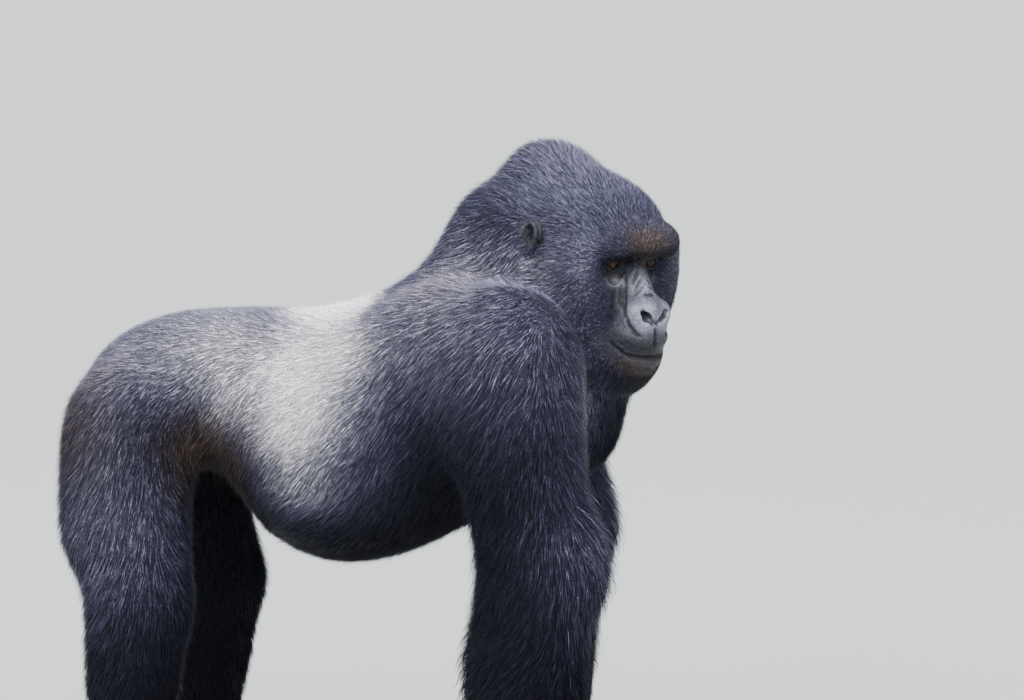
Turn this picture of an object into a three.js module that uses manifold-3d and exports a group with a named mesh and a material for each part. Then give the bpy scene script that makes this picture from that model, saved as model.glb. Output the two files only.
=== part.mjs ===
// A male mountain gorilla, life size, standing square on its knuckles and soles
// with its head turned to its right. Millimetres; +X is forward, +Y the animal's
// left, +Z up. The soles and knuckles rest on the plane z = 0.
//
// The body is one soft form: ellipsoids and tapered bars that melt into each
// other. Each named piece is a capsule or a sphere of rays sent out from inside
// that form to where it ends, then parted from its neighbours by thin cuts.
import * as THREE from "three";
import { mergeVertices } from "three/addons/utils/BufferGeometryUtils.js";
import Module from "manifold-3d";

const wasm = await Module();
wasm.setup();

// ---------------------------------------------------------------- dimensions

const GAP = 0.3; // clear space left between pieces that meet
const ROOM = 1.2; // growth along its rays of a piece that another gives way to
const SIDES = { right: -1, left: 1 };

// Joints of the right limbs at y > 0; each side mirrors them and steps them along x.
const SHOULDER = { x: 298, y: 232, z: 790 };
const ELBOW = { x: 350, y: 268, z: 470 };
const WRIST = { x: 345, y: 262, z: 165 };
const HIP = { x: -350, y: 108, z: 690 };
const KNEE = { x: -325, y: 160, z: 400 };
const ANKLE = { x: -340, y: 168, z: 110 };
const ARM_STEP = { right: 0, left: -48 }; // how far each hand stands ahead
const LEG_STEP = { right: 0, left: 58 }; // how far each knee stands ahead
const FOOT_STEP = 0.8; // share of that step which reaches the foot

const PALM_END = { ahead: 14, z: 90 }; // how far the palm leans ahead of the wrist, and how low it ends
const FINGERS = { spread: 31.5, root: [15, 15.6], tip: [13.8, 13.6] };
const TOES = { spread: [-14, 11.5, 37, 61], length: [62, 60, 54, 44], radius: 13.5, tip: 12 };

// The head hangs on its own frame: x to the nose, y to its left ear, z to the crown.
const HEAD = { pivot: [385, 0, 962], nod: 20, turn: -45 };
const SKULL_MIDDLE = [60, 0, 0]; // where the rays that find the head's surface start
const EYE = { x: 117, y: 37, z: 47, radius: 13 };
const SOCKET = { x: 150, y: 38, z: 49, half: [27, 21, 16] };
const LIDS = { x: 140, z: 47, half: [20, 13, 9] }; // the opening between the lids
const EAR = { x: 8, z: 48, half: [17, 11, 25], bowl: [10, 9, 17], sunk: 2 };
const BOWL = { ahead: 3, out: 9 }; // where the hollow of the ear stands from its shell

// Parting planes: a point on the plane, and the way to the piece beyond it.
const PARTINGS = {
  loins: { at: [-190, 0, 0], way: [1, 0, 0] },
  midriff: { at: [70, 0, 700], way: [1, 0, -0.2] },
  collar: { at: [285, -5, 850], way: [0.67, 0, 0.74] },
};
const NAPE_PARTING = { at: [-55, 0, -28], way: [0.715, 0.333, 0.615] }; // head frame
const MOUTH_PARTING = { at: [236, 0, -74], way: [0.2, 0, -0.98] }; // head frame
const FLOOR = { at: [0, 0, 0], way: [0, 0, 1] };
const KNUCKLES = { x: 372, z: 76, way: [0.55, 0, -0.83] }; // where the fingers leave the palm
const TOE_LINE = { x: -186, y: 176, way: [0.92, 0.39, 0] }; // where the toes leave the foot

// ------------------------------------------------------------------- finishes

const finish = (color, roughness) => new THREE.MeshStandardMaterial({ color, roughness, metalness: 0 });
const FINISH = {
  blackCoat: () => finish(0x1b1c20, 0.8),
  silverCoat: () => finish(0x9a9a98, 0.75),
  greyCoat: () => finish(0x4a4a49, 0.8),
  bareSkin: () => finish(0x26262a, 0.5),
  eye: () => finish(0x3a1c0e, 0.12),
};

// ---------------------------------------------------------------- soft forms

/** A rotation matrix from turns in degrees about x, then y, then z. */
function turned(x = 0, y = 0, z = 0) {
  const [a, b, c] = [x, y, z].map(THREE.MathUtils.degToRad);
  return new THREE.Matrix4().makeRotationFromEuler(new THREE.Euler(a, b, c, "ZYX"));
}

const WORLD = new THREE.Matrix4();
const HEAD_FRAME = new THREE.Matrix4().makeTranslation(...HEAD.pivot).multiply(turned(0, HEAD.nod, HEAD.turn));

/** An ellipsoid as a signed distance, good close to its surface. */
class Ball {
  constructor(at, half, { blend = 40, turn = [], frame = WORLD, hollow = false } = {}) {
    this.blend = blend;
    this.hollow = hollow;
    this.half = half;
    const place = new THREE.Matrix4().makeTranslation(...at).multiply(turned(...turn));
    this.inward = place.premultiply(frame).invert();
  }
  distance(point) {
    const [a, b, c] = this.half;
    const q = point.clone().applyMatrix4(this.inward);
    const near = Math.hypot(q.x / a, q.y / b, q.z / c);
    const slope = Math.hypot(q.x / a ** 2, q.y / b ** 2, q.z / c ** 2);
    return (near * (near - 1)) / Math.max(slope, 1e-9);
  }
}

/** A round bar whose radius runs from one end's to the other's, as a signed distance. */
class Bar {
  constructor(start, end, radii, { blend = 40, frame = WORLD } = {}) {
    this.blend = blend;
    this.start = new THREE.Vector3(...start).applyMatrix4(frame);
    this.end = new THREE.Vector3(...end).applyMatrix4(frame);
    this.radii = radii;
  }
  distance(point) {
    const [first, last] = this.radii;
    const axis = this.end.clone().sub(this.start);
    const length = axis.length();
    axis.divideScalar(length);
    const offset = point.clone().sub(this.start);
    const along = offset.dot(axis);
    const off = Math.sqrt(Math.max(offset.lengthSq() - along * along, 0));
    const taper = (first - last) / length;
    const flank = Math.sqrt(1 - taper * taper);
    const foot = flank * along - taper * off; // where the point falls on the slanted side
    if (foot < 0) return Math.hypot(off, along) - first;
    if (foot > flank * length) return Math.hypot(off, along - length) - last;
    return off * flank + along * taper - first;
  }
}

/** The lesser of two distances, rounded off where they are nearly the same. */
function softLesser(one, other, blend) {
  const overlap = Math.max(blend - Math.abs(one - other), 0) / blend;
  return Math.min(one, other) - (overlap * overlap * blend) / 4;
}

/** The distance to all forms together, each blended into those before it, or taken out of them. */
function melt(forms) {
  return (point) => {
    let distance = 1e4;
    for (const form of forms) {
      const next = form.distance(point);
      distance = form.hollow ? -softLesser(-distance, next, form.blend) : softLesser(distance, next, form.blend);
    }
    return distance;
  };
}

// --------------------------------------------------------- the gorilla's forms

function trunkForms() {
  const forms = [
    new Ball([-305, 0, 728], [152, 150, 130], { turn: [0, -10, 0], blend: 60 }), // pelvis
    new Ball([-160, 0, 748], [200, 190, 132], { turn: [0, 2, 0], blend: 60 }), // loin
    new Ball([5, 0, 660], [210, 262, 208], { turn: [0, 2, 0], blend: 70 }), // belly
    new Ball([120, 0, 712], [210, 252, 200], { turn: [0, -22, 0], blend: 70 }), // ribs
    new Ball([262, 0, 725], [165, 195, 180], { blend: 60 }), // breast
    new Ball([165, 0, 795], [150, 160, 120], { turn: [0, -38, 0], blend: 70 }), // withers
    new Bar([215, 0, 845], [268, 0, 992], [132, 110], { blend: 60 }), // nape
    new Bar([300, -10, 770], [400, -35, 880], [150, 104], { blend: 50 }), // throat
    new Bar([396, -25, 780], [372, -10, 690], [76, 82]), // long hair of the breast
  ];
  for (const side of Object.values(SIDES)) {
    forms.push(new Ball([165, side * 160, 815], [165, 105, 115], { turn: [0, -25, 0], blend: 60 })); // scapula
  }
  return forms;
}

function headForms() {
  const frame = HEAD_FRAME;
  const forms = [
    new Ball([0, 0, 54], [112, 88, 86], { frame, turn: [0, 10, 0], blend: 35 }), // cranium
    new Ball([-90, 0, 88], [114, 66, 62], { frame, turn: [0, 4, 0] }), // crest
    new Ball([-112, 0, 66], [92, 94, 92], { frame, blend: 45 }), // occiput
    new Bar([133, -48, 86], [133, 48, 86], [24, 24], { frame, blend: 26 }), // brow ridge
    new Ball([22, 0, 103], [80, 66, 54], { frame, turn: [0, 14, 0], blend: 30 }), // top of the head
    new Ball([78, 0, 108], [66, 73, 33], { frame, turn: [0, 26, 0], blend: 34 }), // forehead
  ];
  for (const side of Object.values(SIDES)) {
    forms.push(
      new Bar([133, side * 46, 86], [104, side * 80, 66], [23, 23], { frame, blend: 22 }), // end of the brow
      new Ball([84, side * 80, 12], [50, 47, 60], { frame, blend: 28 }), // cheekbone
      new Ball([82, side * 80, -40], [54, 46, 56], { frame, blend: 28 }), // cheek
      new Ball([20, side * 72, 40], [88, 40, 80], { frame, blend: 30 }), // temple
      new Ball([35, side * 68, -50], [80, 48, 82], { frame, blend: 35 }), // jowl
    );
  }
  forms.push(
    new Bar([127, 0, 48], [157, 0, 8], [18, 25], { frame, blend: 18 }), // bridge of the nose
    new Ball([98, 0, -10], [55, 58, 58], { frame, blend: 30 }), // midface
    new Ball([155, 0, -72], [64, 55, 40], { frame, turn: [0, 8, 0], blend: 28 }), // muzzle
    new Ball([142, 0, -34], [50, 46, 38], { frame, blend: 28 }), // top of the muzzle
    new Ball([180, 0, -52], [47, 50, 27], { frame, blend: 14 }), // upper lip
    new Ball([184, 0, -18], [31, 40, 36], { frame, turn: [0, -20, 0], blend: 12 }), // nose pad
  );
  for (const side of Object.values(SIDES)) {
    const socket = [SOCKET.x, side * SOCKET.y, SOCKET.z];
    forms.push(new Ball([190, side * 28, -17], [19, 15, 24], { frame, blend: 8 })); // nostril wing
    forms.push(new Ball(socket, SOCKET.half, { frame, blend: 8, hollow: true })); // eye socket
  }
  forms.push(
    new Ball([199, 0, -2], [17, 15, 13], { frame, blend: 8 }), // tip of the nose
    new Ball([203, 0, -37], [17, 33, 15], { frame, blend: 10 }), // foot of the nose
    new Ball([163, 0, -106], [54, 46, 33], { frame, blend: 22 }), // chin
    new Ball([112, 0, -98], [92, 74, 55], { frame, blend: 35 }), // jaw
    new Ball([136, 0, -138], [62, 57, 35], { frame, blend: 30 }), // beard
  );
  return forms;
}

/** The joints and forms of one arm. */
function armParts(name) {
  const side = SIDES[name];
  const step = ARM_STEP[name];
  const at = (x, y, z) => [x + step, side * y, z];
  const shoulder = [SHOULDER.x + step * 0.3, side * SHOULDER.y, SHOULDER.z];
  const elbow = at(ELBOW.x, ELBOW.y, ELBOW.z);
  const wrist = at(WRIST.x, WRIST.y, WRIST.z);
  const forms = [
    new Ball([285, side * 232, 780], [125, 98, 165], { turn: [0, 8, 0], blend: 60 }), // deltoid
    new Bar(shoulder, elbow, [118, 98]), // upper arm
    new Bar(elbow, wrist, [94, 72]), // forearm
    new Ball(at(322, 270, 315), [104, 88, 165]), // forearm's long hair
    new Ball(at(392, 262, 496), [80, 72, 96], { turn: [0, -6, 0], blend: 50 }), // hair before the elbow
    new Ball(at(358, 262, 112), [36, 66, 66], { turn: [0, -14, 0], blend: 30 }), // palm
  ];
  const fingers = [-1.5, -0.5, 0.5, 1.5].map((place) => {
    const offset = place * FINGERS.spread;
    const y = WRIST.y + offset;
    const reach = 402 - Math.abs(offset) * 0.2; // the middle two stand a little further forward
    return [
      new Bar(at(370, y, 70), at(reach, y, 22), FINGERS.root, { blend: 5 }),
      new Bar(at(reach - 8, y, 17), at(356, y, 10.5), FINGERS.tip, { blend: 5 }),
    ];
  });
  const thumb = new Bar(at(340, 206, 136), at(362, 176, 80), [18, 12], { blend: 14 });
  return { shoulder, elbow, wrist, forms, fingers, thumb };
}

/** The joints and forms of one leg. */
function legParts(name) {
  const side = SIDES[name];
  const step = LEG_STEP[name];
  const foot = step * FOOT_STEP;
  const hip = [HIP.x + step * 0.4, side * HIP.y, HIP.z];
  const knee = [KNEE.x + step, side * KNEE.y, KNEE.z];
  const ankle = [ANKLE.x + foot, side * ANKLE.y, ANKLE.z];
  const at = (x, y, z) => [x + foot, side * y, z];
  const heel = at(-375, 168, 40);
  const ball = at(-225, 178, 34);
  const forms = [
    new Ball([-372 + step * 0.3, side * 98, 630], [102, 90, 125], { turn: [0, 4, 0], blend: 50 }), // buttock
    new Ball([-380 + step * 0.6, side * 140, 535], [90, 82, 118], { turn: [0, 2, 0] }), // ham
    new Bar(hip, knee, [108, 90]), // thigh
    new Bar(knee, ankle, [84, 60]), // shank
    new Ball([-340 + step * 0.9, side * 165, 300], [76, 72, 130], { turn: [0, 5, 0] }), // calf
    new Bar(at(-350, 168, 95), heel, [50, 41], { blend: 30 }), // heel
    new Bar(heel, ball, [42, 34], { blend: 30 }), // sole
    new Ball(at(-245, 176, 38), [82, 60, 38], { turn: [0, 4, 0], blend: 25 }), // instep
  ];
  const toes = TOES.spread.map((offset, row) => {
    const root = -196 - row * row * 3.5;
    const end = root + TOES.length[row] - 14;
    return new Bar(at(root, 176 + offset, 23), at(end, 176 + offset * 1.04, 10), [TOES.radius, TOES.tip], {
      blend: 5,
    });
  });
  const bigToe = new Bar(at(-285, 140, 34), at(-200, 98, 19), [27, 22], { blend: 14 });
  return { hip, knee, ankle, heel, ball, forms, toes, bigToe };
}

// -------------------------------------------------------------- making solids

const vector = (at) => new THREE.Vector3(...at);

/** A plane that parts two pieces, or bounds one. */
class Parting {
  constructor({ at, way }, frame = WORLD) {
    this.normal = vector(way).normalize().transformDirection(frame);
    this.offset = this.normal.dot(vector(at).applyMatrix4(frame));
  }
  height(point) {
    return this.normal.dot(point) - this.offset;
  }
  /** The part of a solid beyond the plane, or short of it, clear by half the gap. */
  beyond(solid, clear = GAP / 2) {
    return solid.trimByPlane(this.normal.toArray(), this.offset + clear);
  }
  before(solid, clear = GAP / 2) {
    return solid.trimByPlane(this.normal.clone().negate().toArray(), clear - this.offset);
  }
}

/** How far a ray from inside the form travels before it first comes out. */
function reachOut(origin, direction, outside) {
  const shortest = 1;
  const spot = (reach) => origin.clone().addScaledVector(direction, reach);
  let inner = 0;
  let outer = 0;
  for (let depth = outside(origin); depth < 0; depth = outside(spot(outer))) {
    inner = outer;
    outer += Math.max(-depth * 0.5, shortest);
  }
  for (let halving = 0; halving < 14; halving += 1) {
    const middle = (inner + outer) / 2;
    if (outside(spot(middle)) < 0) inner = middle;
    else outer = middle;
  }
  return spot(outer);
}

/** The form, closed off a margin beyond each limit so that a plane can cut it there. */
function within(form, limits, margin = 80) {
  return (point) => Math.max(form(point), ...limits.map((limit) => limit(point) - margin));
}

/** A closed three.js geometry as a manifold solid. */
function solidOf(geometry) {
  const plain = geometry.clone();
  plain.deleteAttribute("normal");
  plain.deleteAttribute("uv");
  const merged = mergeVertices(plain, 1e-3);
  const triangles = [];
  for (let start = 0; start < merged.index.count; start += 3) {
    const [a, b, c] = merged.index.array.slice(start, start + 3);
    if (a !== b && b !== c && c !== a) triangles.push(a, b, c); // a pole's quads have an empty half
  }
  return new wasm.Manifold(
    new wasm.Mesh({
      numProp: 3,
      vertProperties: new Float32Array(merged.attributes.position.array),
      triVerts: new Uint32Array(triangles),
    }),
  );
}

/** Moves every vertex of a unit geometry to where its own ray leaves the form. */
function pushOut(geometry, rayOf, outside, grow = 0) {
  const { position } = geometry.attributes;
  for (let index = 0; index < position.count; index += 1) {
    const ray = rayOf(new THREE.Vector3().fromBufferAttribute(position, index));
    const end = reachOut(ray.origin, ray.direction, outside).addScaledVector(ray.direction, grow);
    position.setXYZ(index, end.x, end.y, end.z);
  }
  return solidOf(geometry);
}

/** A capsule of rays round a path of points, out to the surface of the form. */
function limb(points, outside, { around, along, cap, grow = 0 }) {
  const path = points.length > 2 ? new THREE.CatmullRomCurve3(points.map(vector)) : null;
  const [first, last] = [vector(points[0]), vector(points.at(-1))];
  const rayOf = (unit) => {
    const height = THREE.MathUtils.clamp(unit.y, -1, 1);
    const share = (height + 1) / 2;
    const origin = path ? path.getPointAt(share) : first.clone().lerp(last, share);
    const tangent = path ? path.getTangentAt(share) : last.clone().sub(first).normalize();
    const side = new THREE.Vector3(0, 1, 0).cross(tangent).normalize();
    const other = side.clone().cross(tangent);
    const direction = side
      .multiplyScalar(unit.x)
      .addScaledVector(tangent, unit.y - height)
      .addScaledVector(other, unit.z);
    return { origin, direction: direction.normalize() };
  };
  return pushOut(new THREE.CapsuleGeometry(1, 2, cap, around, along), rayOf, outside, grow);
}

/** A sphere of rays from the middle of the head, closest together over the face. */
function skull(outside, grow = 0) {
  const centre = new THREE.Vector3(...SKULL_MIDDLE).applyMatrix4(HEAD_FRAME);
  const crowd = 0.62; // how much closer the rays stand at the face than on average
  const rayOf = (unit) => {
    const turn = Math.atan2(-unit.z, unit.x);
    const lift = Math.asin(THREE.MathUtils.clamp(unit.y, -1, 1));
    const lateral = turn - crowd * Math.sin(turn);
    const upward = lift - crowd * 0.42 * Math.sin(2 * lift);
    const level = Math.cos(upward);
    const direction = new THREE.Vector3(level * Math.cos(lateral), level * Math.sin(lateral), Math.sin(upward));
    return { origin: centre, direction: direction.transformDirection(HEAD_FRAME) };
  };
  return pushOut(new THREE.SphereGeometry(1, 31, 25), rayOf, outside, grow);
}

/** A tapered bar with round ends, as a solid. */
function barSolid(bar, { around = 6, cap = 2 } = {}) {
  const detail = { around, along: 1, cap };
  return limb([bar.start.toArray(), bar.end.toArray()], (point) => bar.distance(point), detail);
}

// ------------------------------------------------------------- the scene graph

const gorilla = new THREE.Group();

/** Adds a solid to a group as a named mesh that stands at its own middle. */
function add(name, solid, material, group = gorilla) {
  const mesh = solid.getMesh();
  const geometry = new THREE.BufferGeometry();
  geometry.setAttribute("position", new THREE.BufferAttribute(mesh.vertProperties, 3));
  geometry.setIndex(new THREE.BufferAttribute(mesh.triVerts, 1));
  geometry.computeBoundingBox();
  const middle = geometry.boundingBox.getCenter(new THREE.Vector3());
  geometry.translate(-middle.x, -middle.y, -middle.z);
  geometry.computeVertexNormals();
  const part = new THREE.Mesh(geometry, material);
  part.name = name;
  part.position.copy(middle);
  group.add(part);
}

const partings = Object.fromEntries(Object.entries(PARTINGS).map(([key, plane]) => [key, new Parting(plane)]));
const nape = new Parting(NAPE_PARTING, HEAD_FRAME);
const mouth = new Parting(MOUTH_PARTING, HEAD_FRAME);
const floor = new Parting(FLOOR);
const above = (plane) => (point) => plane.height(point);
const below = (plane) => (point) => -plane.height(point);

const torso = melt([...trunkForms(), ...headForms()]);
const CLOSE = 40; // how far past a cut the rays look where another form stands near it

/** The trunk's barrel up to the collar, and the neck between collar and nape. */
function trunkSolids(grow = 0) {
  const spine = [[-300, 0, 720], [-150, 0, 735], [20, 0, 700], [140, 0, 720], [250, 0, 745]];
  const barrel = limb(spine, within(torso, [above(partings.collar)], CLOSE), { around: 24, along: 11, cap: 4, grow });
  const neckPath = [[225, 0, 830], [290, 0, 905]];
  const neckLimits = [below(partings.collar), above(nape)];
  const neck = limb(neckPath, within(torso, neckLimits, CLOSE), { around: 18, along: 3, cap: 4, grow });
  const clear = GAP / 2 - grow;
  return {
    barrel: partings.collar.before(barrel, clear),
    neck: nape.before(partings.collar.beyond(neck, clear), clear),
  };
}

function headSolid(grow = 0) {
  const whole = skull(within(torso, [below(nape), below(partings.collar)], CLOSE), grow);
  const clear = GAP / 2 - grow;
  return partings.collar.beyond(nape.beyond(whole, clear), clear);
}

const trunk = trunkSolids();
const trunkRoom = trunkSolids(ROOM);
const head = headSolid();
const headRoom = headSolid(ROOM);

/** What is left of a solid when the trunk, neck and head have taken their room. */
function clearOfTrunk(solid) {
  return solid.subtract(trunkRoom.barrel).subtract(trunkRoom.neck).subtract(headRoom);
}

function buildTrunk() {
  const { loins, midriff } = partings;
  const middle = midriff.before(loins.beyond(trunk.barrel));
  add("pelvis", loins.before(trunk.barrel), FINISH.greyCoat());
  add("abdomen", middle, FINISH.silverCoat());
  add("chest", midriff.beyond(trunk.barrel), FINISH.blackCoat());
  add("neck", trunk.neck, FINISH.blackCoat());
}

/** A sphere of rays on one form of the head, as a solid. */
function knob(at, half, { around = 12, rows = 6 } = {}) {
  const geometry = new THREE.SphereGeometry(1, around, rows);
  geometry.applyMatrix4(new THREE.Matrix4().makeScale(...half)).applyMatrix4(new THREE.Matrix4().setPosition(...at));
  return solidOf(geometry.applyMatrix4(HEAD_FRAME));
}

/** How far the head reaches sideways where an ear grows. */
function sideOfHead(side) {
  const middle = new THREE.Vector3(EAR.x, 0, EAR.z).applyMatrix4(HEAD_FRAME);
  const sideways = new THREE.Vector3(0, side, 0).transformDirection(HEAD_FRAME);
  return reachOut(middle, sideways, torso).distanceTo(middle);
}

function buildHead() {
  const group = new THREE.Group();
  let flesh = head;
  for (const [name, side] of Object.entries(SIDES)) {
    const at = [EYE.x, side * EYE.y, EYE.z];
    const ball = (radius) => knob(at, [radius, radius, radius]);
    const opening = knob([LIDS.x, side * EYE.y, LIDS.z], LIDS.half, { around: 10 });
    flesh = flesh.subtract(ball(EYE.radius + GAP)).subtract(opening);
    add(`eye_${name}`, ball(EYE.radius), FINISH.eye(), group);

    const across = sideOfHead(side) - EAR.sunk;
    const shell = knob([EAR.x, side * across, EAR.z], EAR.half);
    const bowl = knob([EAR.x + BOWL.ahead, side * (across + BOWL.out), EAR.z], EAR.bowl);
    add(`ear_${name}`, shell.subtract(bowl).subtract(headRoom).subtract(trunkRoom.neck), FINISH.bareSkin(), group);
  }
  add("head", mouth.before(flesh), FINISH.blackCoat(), group);
  add("lower_jaw", mouth.beyond(flesh), FINISH.blackCoat(), group);
  gorilla.add(group);
}

function buildArm(name) {
  const { shoulder, elbow, wrist, forms, fingers, thumb } = armParts(name);
  const group = new THREE.Group();
  const form = melt(forms);
  const axis = (from, to) => ({ at: to, way: vector(to).sub(vector(from)).toArray() });
  const elbowCut = new Parting(axis(shoulder, elbow));
  const wristCut = new Parting(axis(elbow, wrist));
  const knuckles = new Parting({ at: [KNUCKLES.x + ARM_STEP[name], 0, KNUCKLES.z], way: KNUCKLES.way });
  const detail = { around: 13, along: 6, cap: 3 };

  const upper = limb([shoulder, elbow], within(form, [above(elbowCut)]), detail);
  const fore = limb([elbow, wrist], within(form, [below(elbowCut), above(wristCut)]), detail);
  const palmEnd = [wrist[0] + PALM_END.ahead, wrist[1], PALM_END.z];
  const palmLimits = within(form, [below(wristCut), above(knuckles)]);
  const palm = (grow) => limb([wrist, palmEnd], palmLimits, { around: 12, along: 2, cap: 3, grow });
  add(`upper_arm_${name}`, clearOfTrunk(elbowCut.before(upper)), FINISH.blackCoat(), group);
  add(`forearm_${name}`, wristCut.before(elbowCut.beyond(fore)), FINISH.blackCoat(), group);
  add(`hand_${name}`, knuckles.before(wristCut.beyond(palm(0))), FINISH.bareSkin(), group);

  fingers.forEach(([root, tip], index) => {
    const finger = knuckles.beyond(barSolid(root).add(barSolid(tip)));
    add(`finger_${name}_${index + 1}`, floor.beyond(finger, 0), FINISH.bareSkin(), group);
  });
  add(`thumb_${name}`, barSolid(thumb).subtract(palm(ROOM)), FINISH.bareSkin(), group);
  gorilla.add(group);
}

function buildLeg(name) {
  const { hip, knee, ankle, heel, ball, forms, toes, bigToe } = legParts(name);
  const group = new THREE.Group();
  const side = SIDES[name];
  const form = melt(forms);
  const kneeCut = new Parting({ at: knee, way: [0, 0, -1] });
  const ankleCut = new Parting({ at: ankle, way: [0.3, 0, -1] });
  const midline = new Parting({ at: [0, 0, 0], way: [0, side, 0] });
  const [forward, outward] = TOE_LINE.way;
  const toeLine = new Parting({
    at: [TOE_LINE.x + LEG_STEP[name] * FOOT_STEP, side * TOE_LINE.y, 0],
    way: [forward, side * outward, 0],
  });
  const detail = { around: 13, along: 5, cap: 3 };

  const thigh = midline.beyond(kneeCut.before(limb([hip, knee], within(form, [above(kneeCut)]), detail)));
  const shank = limb([knee, ankle], within(form, [below(kneeCut), above(ankleCut)]), detail);
  add(`thigh_${name}`, clearOfTrunk(thigh), FINISH.blackCoat(), group);
  add(`shank_${name}`, ankleCut.before(kneeCut.beyond(shank)), FINISH.blackCoat(), group);

  const footLimits = within(form, [below(ankleCut), below(floor), above(toeLine)]);
  const foot = (grow) => limb([heel, ball], footLimits, { around: 13, along: 5, cap: 3, grow });
  const sole = floor.beyond(toeLine.before(ankleCut.beyond(foot(0))), 0);
  add(`foot_${name}`, sole, FINISH.bareSkin(), group);
  toes.forEach((toe, index) => {
    const solid = floor.beyond(toeLine.beyond(barSolid(toe)), 0);
    add(`toe_${name}_${index + 1}`, solid, FINISH.bareSkin(), group);
  });
  const big = barSolid(bigToe, { around: 8 }).subtract(foot(ROOM));
  add(`big_toe_${name}`, floor.beyond(big, 0), FINISH.bareSkin(), group);
  gorilla.add(group);
}

buildTrunk();
buildHead();
for (const name of Object.keys(SIDES)) {
  buildArm(name);
  buildLeg(name);
}

// The origin is the middle of the footprint of the whole animal, on the floor.
gorilla.updateMatrixWorld(true);
const bounds = new THREE.Box3().setFromObject(gorilla, true);
const centre = bounds.getCenter(new THREE.Vector3());
gorilla.position.set(-centre.x, -centre.y, -bounds.min.z);

export default gorilla;
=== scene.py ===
"""A silverback mountain gorilla, life size: one skin, a combed coat of solid tufts, eyes and nails.

The body is one soft form of ellipsoids and tapered bars that melt into each other. The outer form, at the
tips of the coat, is the one that the solid model has. The skin lies under it by the depth of the coat, and
the tufts fill the space between. Body sizes are in millimetres in the animal's own frame, with +X forward,
+Y to its left and +Z up, and become metres when a mesh is made.
"""

import logging
import math
from collections.abc import Callable, Sequence
from dataclasses import dataclass, field
from enum import Enum

import bpy
import numpy as np
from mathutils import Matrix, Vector


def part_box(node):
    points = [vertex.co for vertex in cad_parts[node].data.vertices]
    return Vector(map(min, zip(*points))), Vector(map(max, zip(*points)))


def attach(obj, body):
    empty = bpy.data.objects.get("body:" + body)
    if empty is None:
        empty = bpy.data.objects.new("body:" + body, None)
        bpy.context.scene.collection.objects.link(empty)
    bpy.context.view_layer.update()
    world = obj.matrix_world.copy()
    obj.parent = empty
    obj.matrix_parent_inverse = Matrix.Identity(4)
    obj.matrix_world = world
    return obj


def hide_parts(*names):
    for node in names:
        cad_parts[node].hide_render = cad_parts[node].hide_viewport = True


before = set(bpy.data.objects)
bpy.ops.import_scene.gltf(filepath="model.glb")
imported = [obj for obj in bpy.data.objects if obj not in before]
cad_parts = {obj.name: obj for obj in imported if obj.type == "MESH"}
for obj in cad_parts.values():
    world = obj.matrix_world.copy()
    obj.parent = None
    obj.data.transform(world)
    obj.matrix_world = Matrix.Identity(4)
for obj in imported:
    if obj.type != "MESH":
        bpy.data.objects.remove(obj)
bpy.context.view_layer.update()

log = logging.getLogger("gorilla")

Array = np.ndarray
Point = tuple[float, float, float]

METRES = 0.001
SIDES = {"right": -1, "left": 1}
FAR = 400.0  # a distance that no form reaches across


# ------------------------------------------------------------------ soft forms


def turned(turn: Sequence[float]) -> Array:
    """A rotation matrix from turns in degrees about x, then y, then z.

    Args:
        turn: the three turns.

    Returns:
        The matrix, which turns a column.
    """
    a, b, c = (math.radians(angle) for angle in turn)
    about_x = np.array([[1, 0, 0], [0, math.cos(a), -math.sin(a)], [0, math.sin(a), math.cos(a)]])
    about_y = np.array([[math.cos(b), 0, math.sin(b)], [0, 1, 0], [-math.sin(b), 0, math.cos(b)]])
    about_z = np.array([[math.cos(c), -math.sin(c), 0], [math.sin(c), math.cos(c), 0], [0, 0, 1]])
    return about_z @ about_y @ about_x


def unit(vectors: Array) -> Array:
    """The vectors at length one."""
    return vectors / np.maximum(np.linalg.norm(vectors, axis=-1, keepdims=True), 1e-9)


def smooth_step(values: Array, low: float, high: float) -> Array:
    """Runs from 0 at low to 1 at high, with soft ends; high may be the lesser."""
    share = np.clip((values - low) / (high - low), 0, 1)
    return share * share * (3 - 2 * share)


@dataclass(frozen=True)
class Place:
    """A frame that stands in the body's frame.

    Args:
        origin: where it stands, in millimetres.
        turn: its turns in degrees about x, then y, then z.
    """

    origin: Point = (0.0, 0.0, 0.0)
    turn: Point = (0.0, 0.0, 0.0)

    @property
    def axes(self) -> Array:
        """Its axes, as the columns of a matrix."""
        return turned(self.turn)

    def out(self, points: Array) -> Array:
        """Points of this frame in the body's frame."""
        return np.asarray(self.origin) + np.asarray(points, float) @ self.axes.T

    def out_way(self, ways: Array) -> Array:
        """Directions of this frame in the body's frame."""
        return np.asarray(ways, float) @ self.axes.T

    def into(self, points: Array) -> Array:
        """Points of the body's frame in this frame."""
        return (points - np.asarray(self.origin)) @ self.axes


BODY = Place()
HEAD = Place((385.0, 0.0, 962.0), (0.0, 20.0, -45.0))


class Role(Enum):
    """Whether a form is added to those before it or taken out of them."""

    ADD = 1
    CUT = -1


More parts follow.
